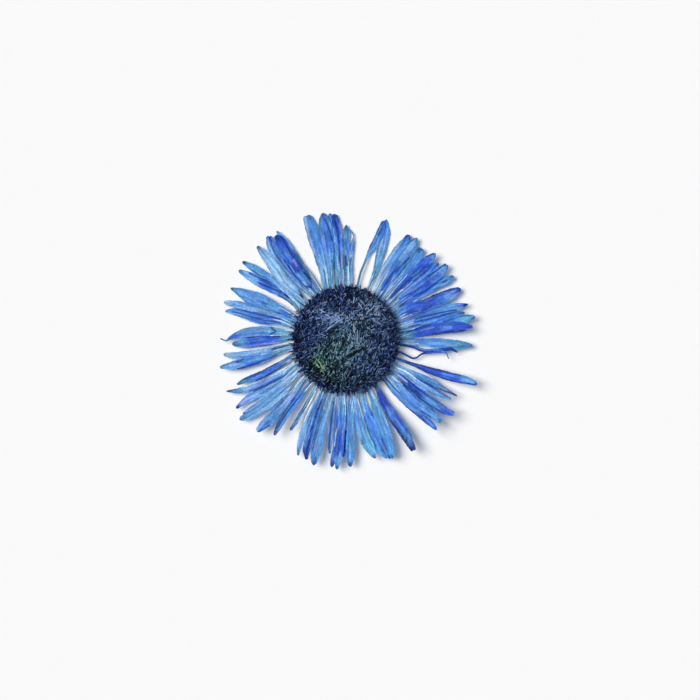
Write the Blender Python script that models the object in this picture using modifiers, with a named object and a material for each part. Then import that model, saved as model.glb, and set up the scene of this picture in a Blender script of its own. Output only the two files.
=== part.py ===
"""Pressed fleabane flower: one flower head, dried flat, lying face up.

Metres, +Z up. The head rests on z = 0 on its outer bracts. The origin is on that plane, under the middle of the
head's outline. +X is to the right and +Y away from a viewer who looks down on it.

From the bottom up: the outer and inner whorls of bracts, the receptacle that passes through both, the ray florets
that stand out from the receptacle's rim in three overlapping layers, and the mat of disc florets on top.
"""
import math

import bmesh
import bpy
from mathutils import Vector

# ---------------------------------------------------------------- driving dimensions
MM = 0.001
HEAD_SPAN = 30.0 * MM            # outline of the whole head, left to right
GRID = HEAD_SPAN / 256.0         # one step of the grid that the ray landmarks are measured on
DISC_X, DISC_Y = 345.7, 339.4    # middle of the disc on that grid (y runs down the grid)
ORIGIN_X, ORIGIN_Y = 348.3, 340.7  # middle of the head's outline on that grid
DISC_R = 53.7 * GRID             # radius of the disc

BRACT_T = 0.14 * MM              # thickness of a whorl of bracts, pressed flat
BRACT_GAP = 0.03 * MM
BRACTS = 21                      # bracts in a whorl
BRACT_HOLE_R = 0.90 * MM
BRACT_NOTCH_R = 4.60 * MM        # where neighbouring bracts part
OUTER_TIP_R = 6.10 * MM
INNER_TIP_R = 6.50 * MM

STALK_R = 0.80 * MM              # cut end of the stalk, flush with the bracts it lies on
RECEPT_R = 5.00 * MM
RECEPT_Z0 = 0.34 * MM
RECEPT_Z1 = 1.04 * MM

RAY_T = 0.08 * MM                # thickness of a dried ray
RAY_Z = 0.46 * MM                # height of the lowest layer of rays where it leaves the receptacle
LAYER = 0.20 * MM                # rise from one layer of rays to the next
CAMBER = 0.035 * MM              # how far a ray's midrib lies under its edges
TIP_MEAN, TIP_SWING = 0.70 * MM, 0.50 * MM  # height of the ray tips: the viewer's side stands up, the far side lies low
TIP_HIGH_AT = math.radians(-60.0)
TIP_R = 130.0 * GRID
STATIONS = 10                    # sections along a ray

MAT_Z0 = 1.08 * MM               # underside of the mat of disc florets
MAT_TOP = 2.24 * MM
MAT_DROP = 0.65 * MM             # fall of the dome from its middle to its shoulder

# Landmarks of each ray from the disc's rim to its tip: grid x, grid y, width. The number is its layer.
RAYS = {
    "ray_01": (0, [(325.5, 286, 4), (323, 271, 6), (319, 257, 7), (315.5, 244, 10.5), (311.5, 230, 12), (308, 218, 9.5), (307.5, 215, 7.5)]),
    "ray_02": (1, [(331, 286, 3), (330.5, 268, 4.2), (329, 256, 6.5), (327.2, 243, 9.2), (325.4, 231, 10), (324.3, 221, 8.5), (323.2, 213, 3.5)]),
    "ray_03": (0, [(336.5, 286, 3.2), (336, 268, 4.5), (335.7, 254, 6.5), (335, 240, 7.5), (333.5, 228, 8), (331, 217, 5), (329.5, 213.5, 2.5)]),
    "ray_04": (1, [(342, 286, 3.2), (341, 268, 4.5), (340.3, 254, 4.8), (340, 240, 5.5), (338.8, 228, 6.2), (336.6, 220, 6.5), (335, 214, 4.2)]),
    "ray_05_06": (0, [(346.8, 286, 3), (346.4, 268, 4), (345.8, 254, 4.6), (345.6, 242, 5.8), (346, 232, 6), (346.2, 225, 1.5)],
                  [(350, 286, 3.2), (350, 268, 3.5), (350.8, 256, 3), (352, 246, 3.2), (353.3, 239, 1.6), (353.6, 235.5, 1.0), (351.8, 232, 1.0), (349.3, 229.3, 1.0)]),
    "ray_07_08": (0, [(357.2, 286.5, 1.8), (360.5, 273, 1.6), (364.8, 262.5, 1.8), (368.2, 254.5, 2.8), (372.4, 247.5, 5), (377, 239.5, 6), (380.8, 230.5, 5.5), (383.2, 221, 2.6)],
                  [(367.5, 289.5, 1.8), (371.5, 279, 2), (375.5, 268.5, 3.4), (378.3, 258, 5.2), (380.8, 249, 7.4), (383, 240, 8), (385.2, 230, 7.5), (386.3, 219.5, 3)]),
    "ray_09": (0, [(374, 293, 3.5), (380, 282, 5), (387, 269, 7.5), (395, 257, 9.5), (402, 247, 9), (409.3, 235, 3)]),
    "ray_10": (1, [(379, 295, 3.5), (388, 281, 5), (397, 268, 8), (405, 256, 9.5), (411, 247, 9), (416.8, 238.2, 3)]),
    "ray_11": (0, [(382.5, 297.5, 3.5), (392, 286, 5), (402, 274, 7), (411, 263, 9), (417, 255, 8.5), (422, 248.5, 5)]),
    "ray_12": (1, [(387, 302, 3.5), (397, 291, 5), (408, 280, 7), (419, 270, 8), (428, 261, 8), (435, 253.8, 3)]),
    "ray_13": (0, [(389, 305, 3.5), (400, 295, 5), (412, 285, 7.5), (424, 275, 8), (433, 267.5, 6), (438.5, 263.5, 2.5)]),
    "ray_14": (1, [(392, 308, 3.5), (404, 298, 5), (418, 289, 7.5), (430, 280, 8.5), (440, 272, 8), (447, 265, 4)]),
    "ray_15": (0, [(394, 312, 3.5), (408, 303, 5), (423, 294.5, 8), (437, 286.5, 9), (447, 281, 8), (454, 276.8, 4)]),
    "ray_16": (1, [(397, 319, 3.5), (412, 311, 5.5), (428, 303.5, 8.5), (441, 297.5, 10), (452, 293, 9), (460.7, 289.8, 4)]),
    "ray_17": (0, [(398.5, 325, 3.5), (414, 319.5, 5.5), (430, 314, 7.5), (445, 309.5, 7.5), (458, 306.5, 5.5), (467.5, 304.4, 1.5)]),
    "ray_18": (1, [(399, 329, 3.5), (415, 324.5, 5.5), (431, 319.5, 7), (445, 315.5, 7.5), (456, 313, 6), (464, 312.8, 2)]),
    "ray_19": (0, [(399.6, 333, 3.5), (415, 329.5, 5), (431, 326, 7), (447, 323, 8), (461, 320, 8), (474.5, 316.8, 3)]),
    "ray_20": (1, [(399.8, 338, 3.5), (415, 334.5, 6), (431, 331, 9), (447, 329, 9), (461, 328, 8), (471.8, 327.5, 3)]),
    "ray_21": (0, [(400, 341, 3.5), (415, 341, 6), (430, 341.5, 8), (445, 342.5, 9), (460, 343.8, 8), (472, 345.5, 3)]),
    "ray_22": (1, [(400, 344.5, 2), (409, 346, 2), (415, 347.2, 3), (420, 349.5, 3), (426, 350.6, 2.8), (436, 350.2, 3), (445, 349.5, 3), (451, 349, 2.6), (457, 352, 1.2)],
               [(400, 352, 1.5), (407, 355.5, 1.5), (413, 358.3, 1.5), (417, 357.5, 1.5), (421, 354.5, 1.5), (428, 352.3, 2.4), (441, 351.6, 2.4), (446, 353, 1.2), (448.4, 358.2, 1.0)]),
    "ray_23": (1, [(399, 357.5, 2.5), (415.4, 364.3, 3.5), (433.2, 371.4, 6), (451, 376.8, 6.5), (467, 380.4, 6), (475.7, 384, 3)]),
    "ray_24": (0, [(396.5, 364, 3), (405.3, 369, 4), (413.9, 373.7, 6), (422.5, 377.3, 7), (431.1, 381.6, 8), (439.7, 387.1, 6), (448.3, 391.3, 4), (456.2, 395.5, 1.5)]),
    "ray_25": (1, [(394, 367.5, 3.2), (410, 375, 5.5), (427, 385.5, 8), (440, 394, 6), (450.5, 399, 2)]),
    "ray_26": (0, [(391, 371.5, 3.2), (402.5, 379.5, 6), (418, 392.5, 8), (436, 405.5, 9), (445.5, 411.5, 8.5), (453, 414, 4)]),
    "ray_27": (1, [(388, 375, 3.2), (399.3, 385.7, 5.5), (415.4, 401.8, 8), (429.6, 412.5, 8.5), (440, 421, 4)]),
    "ray_28": (0, [(385, 379.5, 3.2), (394, 390, 5.5), (403, 398.5, 6.5), (412.6, 407, 6.5), (424, 416.6, 6), (430.5, 423, 5.5), (435.4, 428.6, 2.5)]),
    "ray_29": (1, [(377.5, 389, 3), (384, 402, 6), (395.5, 419, 7.5), (406.5, 435, 7.5), (413.8, 449.5, 3.5)]),
    "ray_30": (1, [(369.8, 392.9, 3.5), (375, 403, 6), (381, 418, 8.5), (386.5, 435, 9.5), (390.5, 448, 9), (391.5, 458, 4)]),
    "ray_32": (0, [(361.8, 393, 3), (364.2, 405, 4.5), (368.2, 416.3, 7), (374, 430, 9), (378, 440, 9), (383, 450.4, 8), (387, 457.6, 3)]),
    "ray_31": (1, [(353.75, 393.75, 3), (358.2, 410.7, 5), (363.6, 430.4, 8.5), (370.7, 446.4, 8.5), (375, 457.5, 2.5)]),
    "ray_33": (0, [(353, 394, 2.5), (351.6, 415, 4.5), (351.3, 435, 6.5), (351.3, 450, 8), (350.3, 466, 2.5)],
               [(348.2, 394, 3), (346.8, 418, 5), (346, 438, 5.2), (343.5, 456, 3)]),
    "ray_34_35": (1, [(343, 394, 3), (342.5, 414, 5), (340, 435, 7), (338.5, 452, 7.5), (336.9, 468.5, 2.5)],
                  [(339.5, 394, 3), (339.3, 412, 4.5), (338, 429.7, 4.5), (335.6, 446, 4.2), (333.3, 459, 4.2), (331.8, 466.3, 2.5)]),
    "ray_36": (0, [(335, 393.75, 2.5), (333.2, 414.3, 4.5), (331.4, 432, 3.8), (330.4, 453, 2)]),
    "ray_37": (2, [(330.5, 393.75, 3), (325.2, 417.9, 6), (319.8, 441, 8.5), (316, 455, 8), (313.9, 464.5, 3)]),
    "ray_38": (1, [(324.3, 392.9, 3), (317, 414.3, 7), (310.9, 435.7, 8), (307, 450, 6.5), (306.7, 459, 2)]),
    "ray_39": (0, [(320.7, 392, 3), (312.7, 410.7, 5), (304.6, 432, 5), (301, 445, 4.5), (299.2, 455, 1.5)]),
    "ray_40": (0, [(315.4, 389.3, 2.5), (310, 400, 3.5), (301, 416, 4), (291.3, 430, 2.5)]),
    "ray_41": (1, [(309, 384.5, 3), (300.5, 397.5, 5), (292.5, 408, 5.5), (285.3, 417.8, 5), (279.5, 426.5, 4.5), (275, 434.6, 1.8)]),
    "ray_42": (0, [(304.6, 378.5, 3), (295.7, 390.9, 5.5), (281.4, 408.9, 8), (268.9, 421.4, 8.5), (257.8, 431.2, 4)]),
    "ray_43": (1, [(300, 373, 3), (285, 389.6, 8), (268.9, 402.3, 9.5), (254.6, 413, 8.5), (240.5, 420.2, 3)],
               [(298.5, 371.4, 3), (283, 385.5, 5), (268, 396.5, 5.5), (254, 406.3, 3.5), (243.3, 413.3, 1.5)]),
    "ray_44": (0, [(296.2, 367.6, 3), (281, 382.3, 6), (264.5, 392.2, 8), (255, 396.5, 7.5), (246, 401.2, 5.5), (236.8, 408.3, 1.8)]),
    "ray_45": (1, [(293, 364.5, 2.5), (281, 373.2, 4.5), (267, 380.2, 5.5), (255, 385.6, 5.5), (240.4, 390.5, 4.2), (227, 391.3, 1.2)]),
    "ray_46": (2, [(291.25, 356.25, 3), (284, 361.2, 5), (272.3, 368.4, 6.8), (255, 376.6, 7), (246, 380.3, 6), (238.3, 385.3, 1.5)]),
    "ray_47": (1, [(290.6, 349, 3), (277.9, 353, 5.5), (263.6, 358.6, 9), (245, 362.7, 9), (231, 365.6, 6.5), (220.5, 367.5, 1.8)]),
    "ray_48": (0, [(291.2, 345, 3), (277.9, 347.3, 5), (260, 351.5, 7), (242, 354.5, 6.5), (224, 354.8, 3)]),
    "ray_49": (1, [(291.5, 332.5, 3), (278, 331.5, 6.5), (265, 330.8, 7.5), (252, 331.5, 7.5), (240, 334, 6), (230, 338, 3), (226.2, 340.6, 1.0), (220.8, 338.8, 1.0)]),
    "ray_50": (0, [(291.7, 336.5, 3), (285, 337, 4.5), (273, 338.8, 7), (259.6, 340.6, 8), (246.3, 342.9, 7.5), (232.4, 344.6, 3)]),
    "ray_51": (1, [(292.5, 322, 3), (277.5, 316, 5), (264, 312.5, 6.5), (250.7, 309.4, 6.5), (237.3, 305, 6.5), (224.2, 302.2, 3)]),
    "ray_52": (0, [(292, 326.5, 3), (279.7, 321.9, 6), (264, 319.6, 8), (250.7, 316.5, 7.5), (237.3, 312.5, 5.5), (225.5, 311.4, 2)]),
    "ray_53": (2, [(294, 317.5, 3.5), (285, 312, 6), (275.3, 307.7, 8.5), (264, 302.4, 10.5), (252, 297.8, 11), (241.8, 293, 7.5), (231, 288.3, 2)]),
    "ray_54": (0, [(299, 309.5, 3), (292.5, 301.5, 5), (285, 295, 7.5), (276.6, 289.8, 8.5), (268, 285.5, 8.5), (259.6, 281.3, 8), (250.7, 276.8, 6.5), (238.9, 270.4, 1.8)]),
    "ray_55": (1, [(301.5, 305.8, 2.8), (291, 296, 4.5), (282, 288, 6), (273, 280.4, 7), (261.9, 273, 7.5), (253, 267.5, 6.5), (242.7, 261.7, 2)]),
    "ray_56": (2, [(305, 302, 3.5), (296, 294, 6), (284, 282.5, 9), (277.4, 273.6, 9), (270.7, 264.6, 9), (264, 255.7, 7.5), (257.5, 246.3, 3)]),
    "ray_57": (1, [(311, 296, 3), (302, 288.5, 5), (292.5, 278.5, 7), (284.5, 270, 8), (276.6, 259, 8), (270.8, 247, 7.5), (268, 236, 4.5)]),
    "ray_58": (2, [(316, 293, 3), (306, 281.5, 7), (297.5, 270.8, 9), (290.8, 260, 9), (284.5, 249.5, 8.5), (279.6, 240.9, 7), (275.6, 235.4, 2.5)]),
    "ray_59": (1, [(318.7, 291, 3), (308.2, 273.5, 5), (301.2, 261, 5.5), (295.8, 251, 5.3), (288, 241, 5), (277, 231, 2)]),
}
SKY, ROYAL, VIOLET = (0.15, 0.36, 0.72, 1), (0.06, 0.15, 0.55, 1), (0.07, 0.08, 0.42, 1)
TINT = {"ray_01": SKY, "ray_09": SKY, "ray_10": SKY, "ray_21": SKY, "ray_30": SKY, "ray_31": SKY, "ray_33": SKY, "ray_37": SKY,
        "ray_39": SKY, "ray_43": SKY, "ray_44": SKY, "ray_45": SKY, "ray_47": SKY, "ray_48": SKY, "ray_49": SKY, "ray_51": SKY,
        "ray_53": SKY, "ray_55": SKY, "ray_56": SKY, "ray_57": SKY, "ray_12": VIOLET, "ray_15": VIOLET, "ray_20": VIOLET,
        "ray_23": VIOLET, "ray_29": VIOLET, "ray_46": VIOLET, "ray_58": VIOLET}

# ---------------------------------------------------------------- empty scene, collections, materials
for old in list(bpy.data.objects):
    bpy.data.objects.remove(old)
flower = bpy.data.collections.new("pressed_fleabane_flower")
cutters = bpy.data.collections.new("cutters")
bpy.context.scene.collection.children.link(flower)
bpy.context.scene.collection.children.link(cutters)


def material(name, colour, roughness):
    mat = bpy.data.materials.new(name)
    mat.use_nodes = True
    shader = mat.node_tree.nodes["Principled BSDF"]
    shader.inputs["Base Color"].default_value = colour
    shader.inputs["Roughness"].default_value = roughness
    mat.diffuse_color = colour
    return mat


def add(name, mesh, mat, collection=flower):
    ob = bpy.data.objects.new(name, mesh)
    ob.data.materials.append(mat)
    collection.objects.link(ob)
    return ob


# ---------------------------------------------------------------- rays
def flat(gx, gy):
    """Grid point to metres on the resting plane."""
    return Vector(((gx - ORIGIN_X) * GRID, (ORIGIN_Y - gy) * GRID, 0.0))


CENTRE = flat(DISC_X, DISC_Y)


def rest_height(p):
    """Height of the lowest layer of rays over a point: level under the disc, then up or down to the tips."""
    dx, dy = p.x - CENTRE.x, p.y - CENTRE.y
    t = (math.hypot(dx, dy) - DISC_R) / (TIP_R - DISC_R)
    t = min(max(t, 0.0), 1.0)
    t = t * t * (3.0 - 2.0 * t)
    tip = TIP_MEAN + TIP_SWING * math.cos(math.atan2(dy, dx) - TIP_HIGH_AT)
    return RAY_Z + (tip - RAY_Z) * t


def through(knots, count):
    """Points evenly spread along a smooth curve through the knots (x, y, width)."""
    at = [0.0]
    for a, b in zip(knots, knots[1:]):
        at.append(at[-1] + math.hypot(b[0] - a[0], b[1] - a[1]))
    slopes = []
    for i in range(len(knots)):
        a, b = max(i - 1, 0), min(i + 1, len(knots) - 1)
        slopes.append([(knots[b][k] - knots[a][k]) / (at[b] - at[a]) for k in range(3)])
    out = []
    for n in range(count):
        s = at[-1] * n / (count - 1)
        i = max(j for j in range(len(at) - 1) if at[j] <= s + 1e-9)
        h = at[i + 1] - at[i]
        u = (s - at[i]) / h
        c = (2 * u**3 - 3 * u**2 + 1, u**3 - 2 * u**2 + u, -2 * u**3 + 3 * u**2, u**3 - u**2)
        out.append([c[0] * knots[i][k] + c[1] * h * slopes[i][k] + c[2] * knots[i + 1][k] + c[3] * h * slopes[i + 1][k] for k in range(3)])
    return out


def ray_object(name, layer, marks, rise, mat, collection):
    """A strap on its centre line, three points wide, that starts on the receptacle's side and gets its thickness last."""
    first = marks[0]
    away = math.hypot(first[0] - DISC_X, first[1] - DISC_Y)
    root = (RECEPT_R - 0.01 * MM) / GRID / away
    knots = [(DISC_X + (first[0] - DISC_X) * root, DISC_Y + (first[1] - DISC_Y) * root, min(first[2], 2.4))] + marks
    line = through(knots, STATIONS + (2 if len(marks) > 7 else 0))
    bm = bmesh.new()
    rows = []
    for i, (gx, gy, width) in enumerate(line):
        a, b = line[max(i - 1, 0)], line[min(i + 1, len(line) - 1)]
        along = (flat(b[0], b[1]) - flat(a[0], a[1])).normalized()
        across = Vector((-along.y, along.x, 0.0))
        middle = flat(gx, gy)
        half = 0.5 * width * GRID
        row = []
        for side in (-1, 0, 1):
            p = middle + across * (half * side)
            p.z = rest_height(p) + layer * LAYER + rise - (CAMBER if side == 0 else 0.0)
            row.append(bm.verts.new(p))
        rows.append(row)
    for lower, upper in zip(rows, rows[1:]):
        for k in (0, 1):
            bm.faces.new((lower[k], upper[k], upper[k + 1], lower[k + 1]))
    bmesh.ops.recalc_face_normals(bm, faces=bm.faces)
    if bm.faces[0].normal.z < 0:
        bmesh.ops.reverse_faces(bm, faces=bm.faces)
    mesh = bpy.data.meshes.new(name)
    bm.to_mesh(mesh)
    bm.free()
    ob = add(name, mesh, mat, collection)
    skin = ob.modifiers.new("thickness", "SOLIDIFY")
    skin.thickness = RAY_T
    skin.offset = 0.0
    return ob


tints = {}
for tint, label in ((SKY, "ray_sky"), (ROYAL, "ray_royal"), (VIOLET, "ray_violet")):
    tints[tint] = material(label, tint, 0.6)

for name, (layer, *straps) in RAYS.items():
    mat = tints[TINT.get(name, ROYAL)]
    ray = ray_object(name, layer, straps[0], 0.0, mat, flower)
    if len(straps) > 1:  # a second ray stuck to the first by the pressing, a hair lower
        stuck = ray_object(name + "_stuck", layer, straps[1], -0.045 * MM, mat, cutters)
        stuck.hide_render = True
        stuck.display_type = "WIRE"
        join = ray.modifiers.new("stuck", "BOOLEAN")
        join.operation = "UNION"
        join.solver = "EXACT"
        join.object = stuck


# ---------------------------------------------------------------- turned pieces
def turned(name, profile, steps, mat):
    """A closed body of revolution on the disc's axis. The profile (radius, height) runs from the top down its outer side."""
    mesh = bpy.data.meshes.new(name)
    mesh.from_pydata([(r, 0.0, z) for r, z in profile], [(i, i + 1) for i in range(len(profile) - 1)], [])
    ob = add(name, mesh, mat)
    ob.location = CENTRE
    turn = ob.modifiers.new("turn", "SCREW")
    turn.axis = "Z"
    turn.steps = turn.render_steps = steps
    turn.use_merge_vertices = True
    turn.merge_threshold = 0.000001
    turn.use_smooth_shade = True
    return ob


turned("receptacle", [
    (0.0, RECEPT_Z1), (RECEPT_R - 0.1 * MM, RECEPT_Z1), (RECEPT_R, RECEPT_Z1 - 0.1 * MM), (RECEPT_R, RECEPT_Z0 + 0.06 * MM),
    (RECEPT_R - 0.1 * MM, RECEPT_Z0), (STALK_R, RECEPT_Z0), (STALK_R, 0.0), (0.0, 0.0)],
    48, material("receptacle", (0.21, 0.24, 0.13, 1), 0.8))

# the mat: a low dome with a rounded rim that overhangs the rays' claws
dome = [(0.0, MAT_TOP)]
for k in range(1, 9):
    r = DISC_R * 0.96 * k / 8
    dome.append((r, MAT_TOP - MAT_DROP * (k / 8) ** 2.2))
dome += [(DISC_R, MAT_Z0 + 0.28 * MM), (DISC_R * 0.99, MAT_Z0 + 0.10 * MM), (DISC_R * 0.965, MAT_Z0), (0.0, MAT_Z0)]
turned("disc_florets", dome, 48, material("disc_florets", (0.012, 0.018, 0.06, 1), 0.85))


# ---------------------------------------------------------------- bracts
def whorl(name, z0, tip_r, turned_by, mat):
    """Narrow pointed bracts, joined round the receptacle: a flat star with a hole, and its thickness."""
    bm = bmesh.new()
    inside, outside = [], []
    per = 4
    for n in range(BRACTS * per):
        angle = math.tau * n / (BRACTS * per) + turned_by
        step = n % per
        r = BRACT_NOTCH_R if step == 0 else (tip_r if step == 2 else BRACT_NOTCH_R + 0.62 * (tip_r - BRACT_NOTCH_R))
        if step in (1, 3):  # shoulders: a bract keeps its width for most of its length
            angle += (0.22 if step == 3 else -0.22) * math.tau / (BRACTS * per)
        if step == 2:
            r *= 1.0 - 0.05 * (0.5 + 0.5 * math.sin(2.399 * n))
        c, s = math.cos(angle), math.sin(angle)
        outside.append(bm.verts.new((r * c, r * s, z0)))
        angle = math.tau * n / (BRACTS * per) + turned_by
        inside.append(bm.verts.new((BRACT_HOLE_R * math.cos(angle), BRACT_HOLE_R * math.sin(angle), z0)))
    for n in range(len(outside)):
        m = (n + 1) % len(outside)
        bm.faces.new((inside[n], outside[n], outside[m], inside[m]))
    mesh = bpy.data.meshes.new(name)
    bm.to_mesh(mesh)
    bm.free()
    ob = add(name, mesh, mat)
    ob.location = CENTRE
    skin = ob.modifiers.new("thickness", "SOLIDIFY")
    skin.thickness = BRACT_T
    skin.offset = 1.0
    return ob


green = material("phyllary", (0.16, 0.22, 0.10, 1), 0.75)
whorl("phyllaries_outer", 0.0, OUTER_TIP_R, 0.0, green)
whorl("phyllaries_inner", BRACT_T + BRACT_GAP, INNER_TIP_R, math.pi / BRACTS, green)
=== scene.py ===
"""Looks of the pressed fleabane flower: dyed ray florets, the dark disc of florets and pappus, bracts, stalk scar.

Metres, +Z up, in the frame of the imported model. A px is one step of the grid that the landmarks are measured on,
0.117 mm on the flower. s is the distance in px along a ray from the disc's rim, and v goes across it, from -1 on the
right of someone who walks out along the ray to 1 on the left.
"""
import math

import bpy
import numpy as np
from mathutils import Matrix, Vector, noise


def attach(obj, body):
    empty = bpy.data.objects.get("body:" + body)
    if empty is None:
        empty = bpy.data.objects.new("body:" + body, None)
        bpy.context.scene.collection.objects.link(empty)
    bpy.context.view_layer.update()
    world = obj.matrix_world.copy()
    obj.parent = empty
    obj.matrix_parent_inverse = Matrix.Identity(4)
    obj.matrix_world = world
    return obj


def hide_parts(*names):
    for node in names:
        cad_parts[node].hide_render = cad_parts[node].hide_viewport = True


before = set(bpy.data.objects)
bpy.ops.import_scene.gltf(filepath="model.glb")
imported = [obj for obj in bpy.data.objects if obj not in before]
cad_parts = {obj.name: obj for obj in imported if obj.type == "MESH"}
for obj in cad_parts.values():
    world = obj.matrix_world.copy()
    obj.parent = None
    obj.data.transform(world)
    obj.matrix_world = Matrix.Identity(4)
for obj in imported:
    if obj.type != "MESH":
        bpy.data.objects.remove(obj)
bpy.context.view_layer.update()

# ---------------------------------------------------------------- dimensions shared with the model
MM = 0.001
GRID = 30.0 * MM / 256.0
DISC_X, DISC_Y = 345.7, 339.4
ORIGIN_X, ORIGIN_Y = 348.3, 340.7
DISC_PX = 53.7
DISC_R = DISC_PX * GRID
RECEPT_R, RECEPT_Z0, RECEPT_Z1, STALK_R = 5.00 * MM, 0.34 * MM, 1.04 * MM, 0.80 * MM
RAY_Z, LAYER, CAMBER = 0.46 * MM, 0.20 * MM, 0.035 * MM
TIP_MEAN, TIP_SWING, TIP_HIGH_AT, TIP_R = 0.70 * MM, 0.50 * MM, math.radians(-60.0), 130.0 * GRID
MAT_Z0, MAT_TOP, MAT_DROP = 1.08 * MM, 2.24 * MM, 0.65 * MM
BRACTS, BRACT_T, BRACT_GAP = 21, 0.14 * MM, 0.03 * MM

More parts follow.
